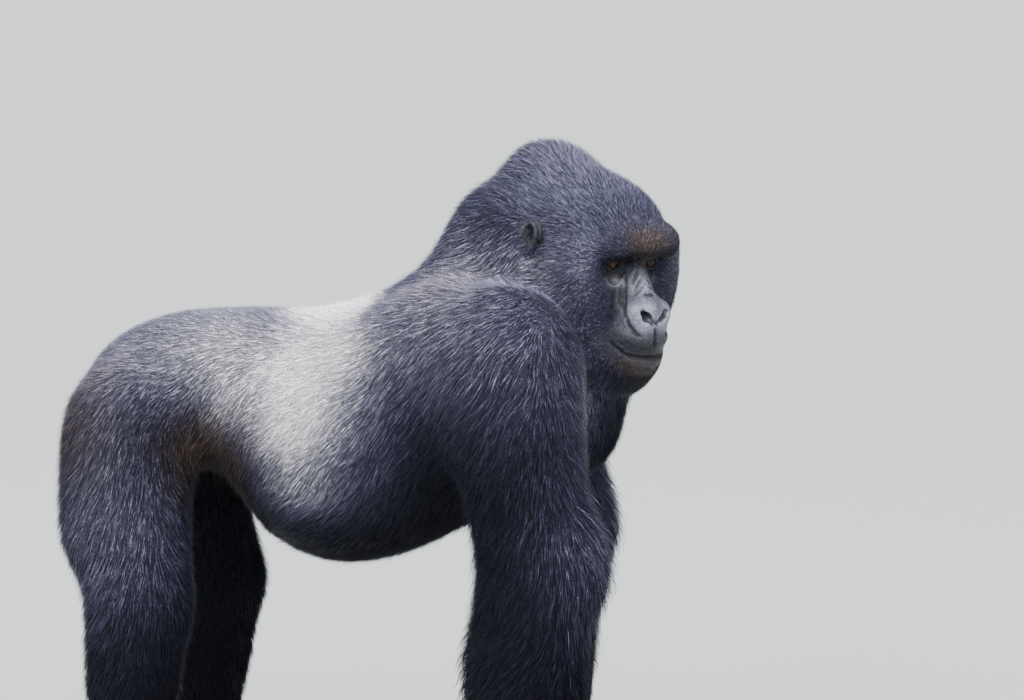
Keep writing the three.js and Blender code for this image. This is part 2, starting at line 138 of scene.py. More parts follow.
@dataclass(frozen=True)
class Ball:
    """An ellipsoid.

    Args:
        at: its middle.
        half: its half sizes.
        turn: its turns in degrees.
        blend: how wide it melts into the forms before it.
        place: the frame that it stands in.
        role: added or taken out.
    """

    at: Point
    half: Point
    turn: Point = (0.0, 0.0, 0.0)
    blend: float = 40.0
    place: Place = BODY
    role: Role = Role.ADD

    def distance(self, points: Array) -> Array:
        """Signed distances, good close to the surface.

        Args:
            points: spots in the body's frame.

        Returns:
            A distance for each, less than nought inside.
        """
        inward = (points - self.middle()) @ self.axes()
        half = np.asarray(self.half)
        near = np.linalg.norm(inward / half, axis=-1)
        slope = np.linalg.norm(inward / half**2, axis=-1)
        return near * (near - 1) / np.maximum(slope, 1e-9)

    def middle(self) -> Array:
        """The middle in the body's frame."""
        return self.place.out(np.array(self.at))

    def axes(self) -> Array:
        """The axes in the body's frame, as columns."""
        return self.place.axes @ turned(self.turn)

    def box(self) -> tuple[Array, Array]:
        """The lowest and highest corners of a box round the form."""
        reach = np.abs(self.axes()) @ np.asarray(self.half)
        return self.middle() - reach, self.middle() + reach


@dataclass(frozen=True)
class Bar:
    """A round bar whose radius runs from one end's to the other's.

    Args:
        start: the middle of one end.
        end: the middle of the other.
        radii: the radius at each end.
        blend: how wide it melts into the forms before it.
        place: the frame that it stands in.
        role: added or taken out.
    """

    start: Point
    end: Point
    radii: tuple[float, float]
    blend: float = 40.0
    place: Place = BODY
    role: Role = Role.ADD

    def ends(self) -> Array:
        """Both ends in the body's frame."""
        return self.place.out(np.array([self.start, self.end]))

    def distance(self, points: Array) -> Array:
        """Signed distances.

        Args:
            points: spots in the body's frame.

        Returns:
            A distance for each, less than nought inside.
        """
        start, end = self.ends()
        first, last = self.radii
        length = float(np.linalg.norm(end - start))
        axis = (end - start) / length
        offset = points - start
        along = offset @ axis
        off = np.sqrt(np.maximum((offset**2).sum(-1) - along**2, 0))
        taper = (first - last) / length
        flank = math.sqrt(1 - taper * taper)
        foot = flank * along - taper * off
        side = off * flank + along * taper - first
        at_start = np.hypot(off, along) - first
        at_end = np.hypot(off, along - length) - last
        return np.where(foot < 0, at_start, np.where(foot > flank * length, at_end, side))

    def box(self) -> tuple[Array, Array]:
        """The lowest and highest corners of a box round the form."""
        reach = max(self.radii)
        return self.ends().min(0) - reach, self.ends().max(0) + reach


Form = Ball | Bar


def soft_lesser(one: Array, other: Array, blend: float) -> Array:
    """The lesser of two distances, rounded off where they are nearly the same."""
    overlap = np.maximum(blend - np.abs(one - other), 0) / blend
    return np.minimum(one, other) - overlap * overlap * blend / 4


def melted(distance: Array, form: Form, points: Array) -> Array:
    """A distance with one more form melted into it or out of it.

    Args:
        distance: signed distances so far.
        form: the form to melt in.
        points: where the distances are.

    Returns:
        The new distances.
    """
    if form.role is Role.CUT:
        return -soft_lesser(-distance, form.distance(points), form.blend)
    return soft_lesser(distance, form.distance(points), form.blend)


@dataclass
class Flesh:
    """Forms that melt into each other in their order.

    Args:
        forms: the forms.
        reach: how far outside its own box a form still counts.
    """

    forms: list[Form]
    reach: float = 60.0

    def at(self, points: Array, start: Array | None = None) -> Array:
        """Signed distances at points, on top of a start value if one is given.

        Args:
            points: spots in the body's frame.
            start: distances so far.

        Returns:
            The distances.
        """
        distance = np.full(len(points), FAR) if start is None else start.copy()
        for form in self.forms:
            low, high = form.box()
            margin = self.reach + form.blend
            near = np.flatnonzero(((points > low - margin) & (points < high + margin)).all(1))
            if near.size:
                distance[near] = melted(distance[near], form, points[near])
        return distance

    def on_grid(self, lines: Sequence[Array], start: Array | None = None) -> Array:
        """Signed distances on a grid of lines along x, y and z, on top of a start value if one is given.

        Args:
            lines: the grid's lines.
            start: distances so far.

        Returns:
            A distance for each crossing.
        """
        shape = tuple(len(line) for line in lines)
        distance = np.full(shape, FAR) if start is None else start
        for form in self.forms:
            low, high = form.box()
            margin = self.reach + form.blend
            spans = [
                slice(*np.searchsorted(line, (low[axis] - margin, high[axis] + margin)))
                for axis, line in enumerate(lines)
            ]
            part = np.stack(np.meshgrid(*(line[span] for line, span in zip(lines, spans)), indexing="ij"), -1)
            if part.size:
                distance[tuple(spans)] = melted(distance[tuple(spans)], form, part)
        return distance


# ----------------------------------------------------------------- the anatomy


@dataclass(frozen=True)
class Toe:
    """Where a small toe leaves the foot and where it ends, along x and outwards."""

    root: tuple[float, float]
    tip: tuple[float, float]


@dataclass(frozen=True)
class Limbs:
    """Where the joints are on the side of the animal where y counts outwards, and each side's step."""

    shoulder: Point = (298, 232, 790)
    elbow: Point = (350, 268, 470)
    wrist: Point = (345, 262, 165)
    hip: Point = (-350, 108, 690)
    knee: Point = (-325, 160, 400)
    ankle: Point = (-340, 168, 110)
    arm_step: dict[str, float] = field(default_factory=lambda: {"right": 0.0, "left": -48.0})
    leg_step: dict[str, float] = field(default_factory=lambda: {"right": 0.0, "left": 58.0})
    foot_share: float = 0.8
    finger_spread: float = 31.5
    toe_spread: tuple[float, ...] = (-14, 11.5, 37, 61)
    toe_length: tuple[float, ...] = (62, 60, 54, 44)
    toe_root: float = -196.0
    toe_arc: float = 3.5
    toe_end: float = 14.0
    toe_line: float = 176.0
    toe_fan: float = 1.04

    def toes(self) -> list[Toe]:
        """The small toes, from the inner one out."""
        toes = []
        for row, (offset, length) in enumerate(zip(self.toe_spread, self.toe_length)):
            root = self.toe_root - row * row * self.toe_arc
            tip = (root + length - self.toe_end, self.toe_line + offset * self.toe_fan)
            toes.append(Toe((root, self.toe_line + offset), tip))
        return toes


@dataclass(frozen=True)
class Face:
    """The head's landmarks in its own frame: x to the nose, y to its left ear, z to the crown."""

    eye: Point = (117, 37, 47)
    eye_radius: float = 13.0
    ear: Point = (8, 0, 48)
    muzzle: Point = (155, 0, -72)
    muzzle_half: Point = (64, 55, 40)


@dataclass
class Anatomy:
    """All forms of the animal, grouped by the part of the body that they belong to."""

    limbs: Limbs = field(default_factory=Limbs)
    face: Face = field(default_factory=Face)

    def trunk(self) -> list[Form]:
        """The trunk and the neck."""
        forms: list[Form] = [
            Ball((-305, 0, 728), (152, 150, 130), (0, -10, 0), 60),  # pelvis
            Ball((-160, 0, 748), (200, 190, 132), (0, 2, 0), 60),  # loin
            Ball((5, 0, 660), (210, 262, 208), (0, 2, 0), 70),  # belly
            Ball((120, 0, 712), (210, 252, 200), (0, -22, 0), 70),  # ribs
            Ball((262, 0, 725), (165, 195, 180), blend=60),  # breast
            Ball((165, 0, 795), (150, 160, 120), (0, -38, 0), 70),  # withers
            Bar((215, 0, 845), (268, 0, 992), (132, 110), 60),  # nape
            Bar((300, -10, 770), (400, -35, 880), (150, 104), 50),  # throat
            Bar((396, -25, 780), (372, -10, 690), (76, 82)),  # long hair of the breast
        ]
        for side in SIDES.values():
            forms.append(Ball((165, side * 160, 815), (165, 105, 115), (0, -25, 0), 60))  # scapula
        return forms

    def head(self) -> list[Form]:
        """The head without its ears."""
        place = HEAD
        muzzle, half = self.face.muzzle, self.face.muzzle_half
        forms: list[Form] = [
            Ball((0, 0, 54), (112, 88, 86), (0, 10, 0), 35, place),  # cranium
            Ball((-90, 0, 88), (114, 66, 62), (0, 4, 0), 40, place),  # crest
            Ball((-112, 0, 66), (92, 94, 92), blend=45, place=place),  # occiput
            Bar((133, -48, 86), (133, 48, 86), (24, 24), 26, place),  # brow ridge
            Ball((22, 0, 103), (80, 66, 54), (0, 14, 0), 30, place),  # top of the head
            Ball((78, 0, 108), (66, 73, 33), (0, 26, 0), 34, place),  # forehead
        ]
        for side in SIDES.values():
            forms += [
                Bar((133, side * 46, 86), (104, side * 80, 66), (23, 23), 22, place),  # end of the brow
                Ball((84, side * 80, 12), (50, 47, 60), blend=28, place=place),  # cheekbone
                Ball((82, side * 80, -40), (54, 46, 56), blend=28, place=place),  # cheek
                Ball((20, side * 72, 40), (88, 40, 80), blend=30, place=place),  # temple
                Ball((35, side * 68, -50), (80, 48, 82), blend=35, place=place),  # jowl
            ]
        forms += [
            Bar((127, 0, 48), (157, 0, 8), (18, 25), 18, place),  # bridge of the nose
            Ball((98, 0, -10), (55, 58, 58), blend=30, place=place),  # midface
            Ball(muzzle, half, (0, 8, 0), 28, place),  # muzzle
            Ball((142, 0, -34), (50, 46, 38), blend=28, place=place),  # top of the muzzle
            Ball((180, 0, -52), (47, 50, 27), blend=14, place=place),  # upper lip
            Ball((184, 0, -18), (31, 40, 36), (0, -20, 0), 12, place),  # nose pad
        ]
        for side in SIDES.values():
            forms += [
                Ball((190, side * 28, -17), (19, 15, 24), blend=8, place=place),  # nostril wing
                Ball((150, side * 38, 49), (27, 21, 16), blend=8, place=place, role=Role.CUT),  # eye socket
            ]
        forms += [
            Ball((199, 0, -2), (17, 15, 13), blend=8, place=place),  # tip of the nose
            Ball((203, 0, -37), (17, 33, 15), blend=10, place=place),  # foot of the nose
            Ball((163, 0, -106), (54, 46, 33), blend=22, place=place),  # chin
            Ball((112, 0, -98), (92, 74, 55), blend=35, place=place),  # jaw
            Ball((136, 0, -138), (62, 57, 35), blend=30, place=place),  # beard
        ]
        return forms

    def arm(self, name: str) -> list[Form]:
        """One arm and its hand.

        Args:
            name: the side.

        Returns:
            The forms.
        """
        side, step, limbs = SIDES[name], self.limbs.arm_step[name], self.limbs

        def at(x: float, y: float, z: float, share: float = 1.0) -> Point:
            """A spot of this arm, moved by a share of the hand's step."""
            return (x + step * share, side * y, z)

        forms: list[Form] = [
            Ball(at(285, 232, 780, 0), (125, 98, 165), (0, 8, 0), 60),  # deltoid
            Bar(at(*limbs.shoulder, 0.3), at(*limbs.elbow), (118, 98)),  # upper arm
            Bar(at(*limbs.elbow), at(*limbs.wrist), (94, 72)),  # forearm
            Ball(at(322, 270, 315), (104, 88, 165)),  # the forearm's long hair
            Ball(at(392, 262, 496), (80, 72, 96), (0, -6, 0), 50),  # hair before the elbow
            Ball(at(358, 262, 112), (36, 66, 66), (0, -14, 0), 30),  # palm
        ]
        for row in (-1.5, -0.5, 0.5, 1.5):
            offset = row * limbs.finger_spread
            y = limbs.wrist[1] + offset
            reach = 402 - abs(offset) * 0.2
            forms.append(Bar(at(370, y, 70), at(reach, y, 22), (15, 15.6), 5))
            forms.append(Bar(at(reach - 8, y, 17), at(356, y, 10.5), (13.8, 13.6), 5))
        forms.append(Bar(at(340, 206, 136), at(362, 176, 80), (18, 12), 14))  # thumb
        return forms

    def leg(self, name: str) -> list[Form]:
        """One leg and its foot.

        Args:
            name: the side.

        Returns:
            The forms.
        """
        side, step, limbs = SIDES[name], self.limbs.leg_step[name], self.limbs
        foot = limbs.foot_share

        def at(x: float, y: float, z: float, share: float = foot) -> Point:
            """A spot of this leg, moved by a share of the foot's step."""
            return (x + step * share, side * y, z)

        knee, ankle = at(*limbs.knee, 1), at(*limbs.ankle)
        heel, ball = at(-375, 168, 40), at(-225, 178, 34)
        forms: list[Form] = [
            Ball(at(-372, 98, 630, 0.3), (102, 90, 125), (0, 4, 0), 50),  # buttock
            Ball(at(-380, 140, 535, 0.6), (90, 82, 118), (0, 2, 0)),  # ham
            Bar(at(*limbs.hip, 0.4), knee, (108, 90)),  # thigh
            Bar(knee, ankle, (84, 60)),  # shank
            Ball(at(-340, 165, 300, 0.9), (76, 72, 130), (0, 5, 0)),  # calf
            Bar(at(-350, 168, 95), heel, (50, 41), 30),  # heel
            Bar(heel, ball, (42, 34), 30),  # sole
            Ball(at(-245, 176, 38), (82, 60, 38), (0, 4, 0), 25),  # instep
        ]
        for toe in limbs.toes():
            forms.append(Bar(at(*toe.root, 23), at(*toe.tip, 10), (13.5, 12), 5))
        forms.append(Bar(at(-285, 140, 34), at(-200, 98, 19), (27, 22), 14))  # big toe
        return forms

    def groups(self) -> dict[str, Flesh]:
        """The forms by part of the body."""
        groups = {"trunk": Flesh(self.trunk()), "head": Flesh(self.head())}
        for name in SIDES:
            groups[f"arm_{name}"] = Flesh(self.arm(name))
            groups[f"leg_{name}"] = Flesh(self.leg(name))
        return groups

    def whole(self) -> Flesh:
        """The whole animal, out to the tips of its coat."""
        return Flesh([form for group in self.groups().values() for form in group.forms])


@dataclass(frozen=True)
class Groove:
    """A groove on both sides of the face: its line, y outwards, and its thickness, lift and blend."""

    line: tuple[Point, ...]
    radius: float
    lift: float
    blend: float = 3


NOSE_WING = ((152, 27, 18), (157, 28.5, 8), (166, 33, -3), (180, 40, -11))
NOSE_WING += ((190, 43, -21), (197, 40, -31), (206, 35, -38), (215, 27, -42))
NOSE_GROOVES = (
    Groove(((140, 24, 38), (146, 25, 28), (152, 27, 18)), 2.1, 0.3, 2),  # beside the bridge
    Groove(((150, 5, 42), (156, 13.5, 35), (158, 17, 24)), 1.9, 0.5),  # slanting over the bridge
    Groove(((158, 3, 30), (164, 11, 24), (166, 14, 14)), 1.9, 0.5),
    Groove(((166, 2, 20), (171, 13.5, 16), (172, 20, 8)), 1.9, 0.5),
    Groove(NOSE_WING, 3.4, 0.4),
    Groove(((152, 34, 12), (160, 40, 0), (172, 47, -10), (182, 50, -24)), 2.3, 0.3),  # on the cheek
    Groove(((146, 41, 14), (152, 48, 0), (162, 54, -14)), 2.1, 0.3),
    Groove(((146, 31, 20), (150, 34, 10), (158, 37, 0)), 2.2, 0.2, 2),
)


@dataclass
class FaceDetail:
    """Lids, nostrils, lips, folds and ears, which stand at the level of the bare skin.

    Args:
        face: the head's landmarks.
        level: gives how far points are outside the bare skin.
    """

    face: Face
    level: Callable[[Array], Array]

    def on_skin(self, points: Sequence[Point]) -> Array:
        """Points of the head's frame, moved onto the surface of the flesh.

        Args:
            points: spots near the skin.

        Returns:
            The spots on it, in the head's frame.
        """
        spots = HEAD.out(np.array(points))
        for _ in range(5):
            slope = np.stack([self.level(spots + step) - self.level(spots - step) for step in np.eye(3)], -1)
            spots = spots - unit(slope) * self.level(spots)[:, None]
        return HEAD.into(spots)

    def fold(
        self, points: Sequence[Point], radius: float, lift: float, role: Role, blend: float = 3.0
    ) -> list[Form]:
        """A groove or a ridge along a curve on the skin.

        Args:
            points: the curve's points, near the skin.
            radius: how thick the bars are; both ends taper off.
            lift: how far the bars stand off the skin.
            role: taken out for a groove, added for a ridge.
            blend: how softly the fold's edges turn.

        Returns:
            The bars.
        """
        knots = np.array(points, float)
        share = np.linspace(0, len(knots) - 1, 4 * len(knots))
        curve = np.stack([np.interp(share, np.arange(len(knots)), knots[:, axis]) for axis in range(3)], 1)
        curve[1:-1] = (curve[:-2] + 2 * curve[1:-1] + curve[2:]) / 4
        spots = self.on_skin([tuple(spot) for spot in curve])
        spots = spots + unit(spots - np.array([60.0, 0.0, -10.0])) * lift
        girth = radius * (0.35 + 0.65 * np.sin(np.linspace(0.12, math.pi - 0.12, len(spots))) ** 0.5)
        return [
            Bar(tuple(spots[i]), tuple(spots[i + 1]), (girth[i], girth[i + 1]), blend, HEAD, role)
            for i in range(len(spots) - 1)
        ]

    def eyes(self) -> list[Form]:
        """Lids round each eye, the folds under it and the crease above it."""
        x, y, z = self.face.eye
        lid = self.face.eye_radius + 2.2
        forms: list[Form] = []
        for side in SIDES.values():
            forms += [
                Ball((x, side * y, z), (lid, lid, lid), blend=6, place=HEAD),
                Ball((x + 24, side * (y + 2), z), (24, 15.6, 11.2), (side * 4, 0, 0), 1.5, HEAD, Role.CUT),
            ]
            upper = [(125, 24, 46), (130.0, 31, 54.8), (130.6, 38, 57.8), (128.0, 46, 55), (121, 53.5, 47)]
            lower = [(125, 24, 46), (129.6, 31, 39.0), (130.0, 38, 36.0), (127.6, 46, 39), (121, 53.5, 47)]
            for curve, girth in ((upper, 2.3), (lower, 1.9)):
                spots = [(a, side * b, c) for a, b, c in curve]
                forms += [Bar(a, b, (girth, girth), 2, HEAD) for a, b in zip(spots, spots[1:])]
            hood = Bar((139, side * 20, 71.5), (132, side * 54, 68), (7.5, 7.5), 12, HEAD)
            forms.append(hood)
            crease = [(130, side * 20, 55), (135, side * 30, 61), (134, side * 42, 61), (124, side * 55, 54)]
            forms += self.fold(crease, 2.0, 0.6, Role.CUT)
            for drop, reach, depth in ((0, 18, 1.9), (8, 15, 1.7), (16, 10, 1.5)):
                under = [
                    (134, side * (36 - reach), 37 - drop),
                    (136, side * 36, 32 - drop),
                    (130, side * (36 + reach), 37 - drop),
                ]
                forms += self.fold(under, depth, 0.5, Role.CUT, 4)
        return forms

    def nose(self) -> list[Form]:
        """Nostrils, the folds round the wings and the line below the septum."""
        forms: list[Form] = []
        for side in SIDES.values():
            forms += [
                Bar((205, side * 23, -6), (214, side * 5, -21), (4.4, 3.8), 4, HEAD, Role.CUT),
                Ball((202, side * 15, -12), (17, 8.5, 7.5), (0, 10, side * 10), 4, HEAD, Role.CUT),
            ]
            for groove in NOSE_GROOVES:
                line = [(x, side * y, z) for x, y, z in groove.line]
                forms += self.fold(line, groove.radius, groove.lift, Role.CUT, groove.blend)
        septum = [(219, 0, -26), (222, 0, -38), (226, 0, -50), (228, 0, -60)]
        forms += self.fold(septum, 1.6, 0.4, Role.CUT, 4)
        for height, reach in ((14, 10), (9, 7)):
            across = [(182, -reach, height + 1), (184, 0, height - 1), (182, reach, height + 1)]
            forms += self.fold(across, 2.0, 0.5, Role.CUT, 3)
        return forms

    def mouth(self) -> list[Form]:
        """The line between the lips, and the lower lip."""
        half = [(181, 57, -67), (194, 50, -73), (204, 42, -78), (212, 31, -80), (219, 18, -79.5)]
        line = [*half, (222, 0, -79), *((x, -y, z) for x, y, z in reversed(half))]
        lip = [(x, y, z - 13) for x, y, z in line[3:-3]]
        forms = self.fold(lip, 8.0, -9.8, Role.ADD, 8)
        forms += self.fold(line, 2.5, 0.5, Role.CUT, 3)
        return forms

    def ears(self) -> list[Form]:
        """Each ear: a rim round a shallow bowl."""
        forms: list[Form] = []
        for side in SIDES.values():
            across = self.side_of_head(side)
            x, _, z = self.face.ear
            forms += [
                Ball((x, side * (across + 2), z), (17, 12, 25), blend=5, place=HEAD),
                Ball((x + 3, side * (across + 14), z + 2), (10, 13, 16), blend=3, place=HEAD, role=Role.CUT),
                Ball((x + 11, side * (across + 12), z - 6), (7, 9, 7), blend=3, place=HEAD, role=Role.CUT),
            ]
            turns = np.radians(np.arange(-60, 241, 25))
            rim = [
                (x + 15 * math.cos(turn), side * (across + 12), z + 1 + 23 * math.sin(turn)) for turn in turns
            ]
            forms += [Bar(a, b, (3.2, 3.2), 3, HEAD) for a, b in zip(rim, rim[1:])]
        return forms

    def side_of_head(self, side: int) -> float:
        """How far the flesh reaches sideways where an ear grows.

        Args:
            side: the sign of y on that side.

        Returns:
            The distance from the middle.
        """
        x, _, z = self.face.ear
        steps = np.arange(0, 200, 0.5)
        line = HEAD.out(np.stack([np.full_like(steps, x), side * steps, np.full_like(steps, z)], 1))
        return float(steps[np.argmax(self.level(line) > 0)])

    def forms(self) -> list[Form]:
        """All details of the head."""
        return self.eyes() + self.nose() + self.mouth() + self.ears()


# -------------------------------------------------------------------- the comb


@dataclass(frozen=True)
class Comb:
    """How the coat lies near one spot.

    Args:
        place: the spot; y counts outwards and the spot is mirrored to both sides.
        lie: the way the hair points.
        length: the hair's length.
        depth: how deep the skin lies under the coat's tips.
        cover: 1 for full coat, 0 for bare skin.
        width: how wide a tuft is.
    """

    place: Point
    lie: Point
    length: float
    depth: float
    cover: float = 1.0
    width: float = 2.6


TRUNK_COMBS = (
    Comb((160, 30, 965), (-0.95, 0.15, -0.30), 25, 12.7),
    Comb((0, 40, 915), (-0.95, 0.20, -0.15), 19, 8.6, width=2),
    Comb((-180, 40, 880), (-0.93, 0.30, -0.15), 18, 8.2, width=1.9),
    Comb((-320, 40, 860), (-0.85, 0.30, -0.40), 18, 8.2, width=1.9),
    Comb((-470, 60, 740), (-0.15, 0.20, -1), 26, 11.8),
    Comb((-60, 200, 800), (-0.75, 0.10, -0.60), 18, 8.2, width=1.9),
    Comb((-20, 262, 680), (-0.60, 0, -0.75), 20, 8.6, width=2),
    Comb((-200, 170, 700), (-0.60, 0.1, -0.75), 19, 8.2, width=2),
    Comb((0, 180, 500), (-0.75, -0.25, -0.4), 29, 11.8, width=3),
    Comb((0, 0, 460), (-0.90, 0, -0.2), 29, 11.8, width=3),
    Comb((150, 250, 700), (-0.55, 0.05, -0.8), 27, 11.8),
    Comb((390, 60, 700), (-0.10, 0.10, -1), 30, 11.8, width=3),
    Comb((300, 0, 560), (-0.70, 0, -0.6), 29, 10.9, width=3),
    Comb((250, 180, 930), (-0.60, 0.35, -0.7), 29, 14),
    Comb((290, 110, 990), (-0.50, 0.20, -0.8), 28, 13.6),
    Comb((240, 0, 1050), (-0.85, 0, -0.5), 27, 14),
)
ARM_COMBS = (
    Comb((290, 335, 800), (-0.45, 0, -0.9), 33, 14.9, width=2.3),
    Comb((405, 250, 800), (-0.10, 0, -1), 33, 14.9, width=2.3),
    Comb((190, 270, 760), (-0.45, 0, -0.85), 30, 13.6, width=2.3),
    Comb((300, 232, 930), (-0.50, 0.3, -0.8), 29, 14),
    Comb((330, 370, 600), (-0.25, 0, -0.97), 36, 16.2),
    Comb((430, 270, 600), (0.08, 0, -1), 36, 17.1),
    Comb((240, 270, 560), (-0.40, 0, -0.9), 37, 17.1),
    Comb((465, 262, 480), (-0.05, 0, -1), 37, 18.5),
    Comb((330, 365, 330), (-0.60, 0, -0.75), 38, 18.1, width=2.8),
    Comb((230, 270, 300), (-0.65, 0, -0.75), 40, 19, width=2.8),
    Comb((420, 265, 330), (-0.30, 0, -0.95), 36, 16.2, width=2.8),
    Comb((340, 330, 180), (-0.45, 0, -0.9), 28, 11.8),
    Comb((330, 160, 600), (-0.20, 0, -1), 29, 12.7, width=3.6),
    Comb((330, 175, 330), (-0.40, 0, -0.9), 32, 14.5, width=3.6),
    Comb((388, 262, 125), (0.20, 0, -1), 16, 5, 0.9, 2.2),
    Comb((320, 262, 110), (0, 0, -1), 10, 3, 0.3, 2.2),
    Comb((385, 262, 60), (0.30, 0, -1), 7, 1.5, 0.35, 1.6),
    Comb((380, 262, 15), (0.30, 0, -1), 4, 1, 0, 1.5),
)
LEG_COMBS = (
    Comb((-460, 110, 640), (-0.10, 0.1, -1), 27, 12.7),
    Comb((-350, 225, 560), (-0.15, 0, -1), 29, 13.6),
    Comb((-245, 150, 560), (0.05, 0, -1), 27, 12.7, width=3.6),
    Comb((-340, 40, 560), (0, 0, -1), 25, 10.9, width=3.8),
    Comb((-465, 150, 500), (-0.15, 0, -1), 31, 14.9),
    Comb((-235, 165, 400), (-0.10, 0, -1), 27, 13.1, width=3.6),
    Comb((-325, 245, 400), (-0.15, 0, -1), 29, 14),
    Comb((-330, 240, 280), (-0.25, 0, -1), 29, 13.6, width=3.6),
    Comb((-410, 165, 280), (-0.25, 0, -1), 31, 14.5, width=3.6),
    Comb((-265, 165, 250), (-0.10, 0, -1), 27, 11.8, width=3.6),
    Comb((-340, 170, 130), (0.1, 0, -1), 21, 7.7),
    Comb((-250, 178, 78), (0.90, 0, -0.4), 13, 3.5, 0.9, 2),
    Comb((-190, 185, 36), (0.90, 0, -0.4), 7, 1.5, 0.4, 1.6),
    Comb((-160, 185, 15), (1, 0, -0.2), 4, 1, 0, 1.5),
    Comb((-400, 168, 30), (0, 0, -1), 6, 1.5, 0.1, 2),
    Comb((-280, 168, 0), (1, 0, 0), 4, 1, 0, 2),
    Comb((-230, 110, 20), (1, 0, 0), 5, 1.2, 0.1, 1.6),
)
HEAD_COMBS = (
    Comb((-70, 0, 168), (-1, 0, 0.05), 23, 12.7, width=1.9),
    Comb((20, 0, 140), (-0.95, 0, 0.3), 19, 9.1, width=1.7),
    Comb((95, 0, 126), (-0.90, 0, 0.4), 15, 5.9, width=1.5),
    Comb((90, 60, 108), (-0.85, 0.3, 0.35), 15, 5.9, width=1.5),
    Comb((146, 0, 112), (-0.80, 0, 0.6), 12, 3.6, width=1.6),
    Comb((144, 36, 112), (-0.80, 0.3, 0.5), 12, 3.6, width=1.6),
    Comb((160, 0, 86), (-0.40, 0.2, 0.9), 9, 2, width=1.5),
    Comb((160, 34, 86), (-0.40, 0.4, 0.8), 9, 2, width=1.5),
    Comb((152, 34, 68), (0.10, 0.5, 0.8), 6, 1.2, 0.5, 1.2),
    Comb((8, 118, 48), (-0.60, 0.2, -0.6), 8, 6.3, -0.2, 1.5),
    Comb((126, 78, 88), (-0.70, 0.5, 0.3), 12, 4, 1, 1.4),
    Comb((112, 96, 58), (-0.75, 0.5, -0.1), 12, 4, 1, 1.4),
    Comb((60, 104, 60), (-0.85, 0.1, -0.3), 19, 8.2, width=1.7),
    Comb((0, 105, 100), (-0.92, 0, -0.1), 21, 9.9, width=1.8),
    Comb((-60, 110, 40), (-0.70, 0, -0.7), 24, 11.3, width=2),
    Comb((0, 118, -20), (-0.50, 0, -0.85), 23, 9.1, width=2),
    Comb((30, 118, 20), (-0.60, 0, -0.7), 17, 6.3, width=1.8),
    Comb((104, 104, 10), (-0.60, 0.3, -0.7), 15, 5, 1, 1.5),
    Comb((118, 92, -40), (-0.55, 0.3, -0.75), 16, 5.5, 1, 1.5),
    Comb((120, 88, -90), (-0.40, 0.2, -0.9), 19, 7.2, 1, 1.7),
    Comb((40, 112, -80), (-0.40, 0, -0.9), 26, 10.9, width=2.2),
    Comb((150, 0, -176), (-0.2, 0, -1), 25, 10.9, width=2),
    Comb((200, 0, -142), (-0.1, 0, -1), 15, 5.5, 1, 1.6),
    Comb((178, 50, -126), (-0.2, 0.1, -1), 17, 5.9, 1, 1.6),
    Comb((228, 0, -100), (0.1, 0, -1), 5, 1.2, 0.35, 1.1),
    Comb((205, 42, -98), (0, 0.1, -1), 6, 1.4, 0.45, 1.1),
    Comb((232, 0, -60), (0.1, 0, -1), 2, 1, 0),
    Comb((205, 48, -62), (0, 0.1, -1), 2, 1, 0),
    Comb((172, 62, -62), (-0.4, 0.3, -0.8), 5, 1.6, 0.4, 1.2),
    Comb((200, 0, 0), (0, 0, -1), 2, 1, 0),
    Comb((196, 34, -20), (0, 0, -1), 2, 1, 0),
    Comb((150, 0, 44), (0, 0, -1), 2, 1, 0),
    Comb((136, 37, 50), (0, 0, -1), 2, 1, 0),
    Comb((134, 40, 20), (-0.3, 0.5, -0.8), 2, 1, 0),
    Comb((160, 34, 0), (-0.3, 0.5, -0.8), 2, 1, 0),
    Comb((186, 46, -34), (-0.3, 0.5, -0.8), 2, 1, 0),
    Comb((156, 50, -16), (-0.4, 0.5, -0.7), 5, 1.4, 0.55, 1.1),
    Comb((141, 63, -8), (-0.4, 0.5, -0.7), 8, 2.4, 0.95, 1.2),
    Comb((155, 60, -38), (-0.4, 0.5, -0.7), 8, 2.4, 0.85, 1.2),
    Comb((124, 66, 30), (-0.5, 0.6, -0.5), 7, 2, 0.8, 1.2),
    Comb((138, 54, 8), (-0.4, 0.6, -0.6), 5, 1.4, 0.5, 1.1),
    Comb((-150, 0, 70), (-0.60, 0, -0.8), 27, 14, width=2.2),
)


@dataclass(frozen=True)
class Lie:
    """The coat at a number of spots: lie, length, depth, cover and width, one row for each."""

    way: Array
    length: Array
    depth: Array
    cover: Array
    width: Array


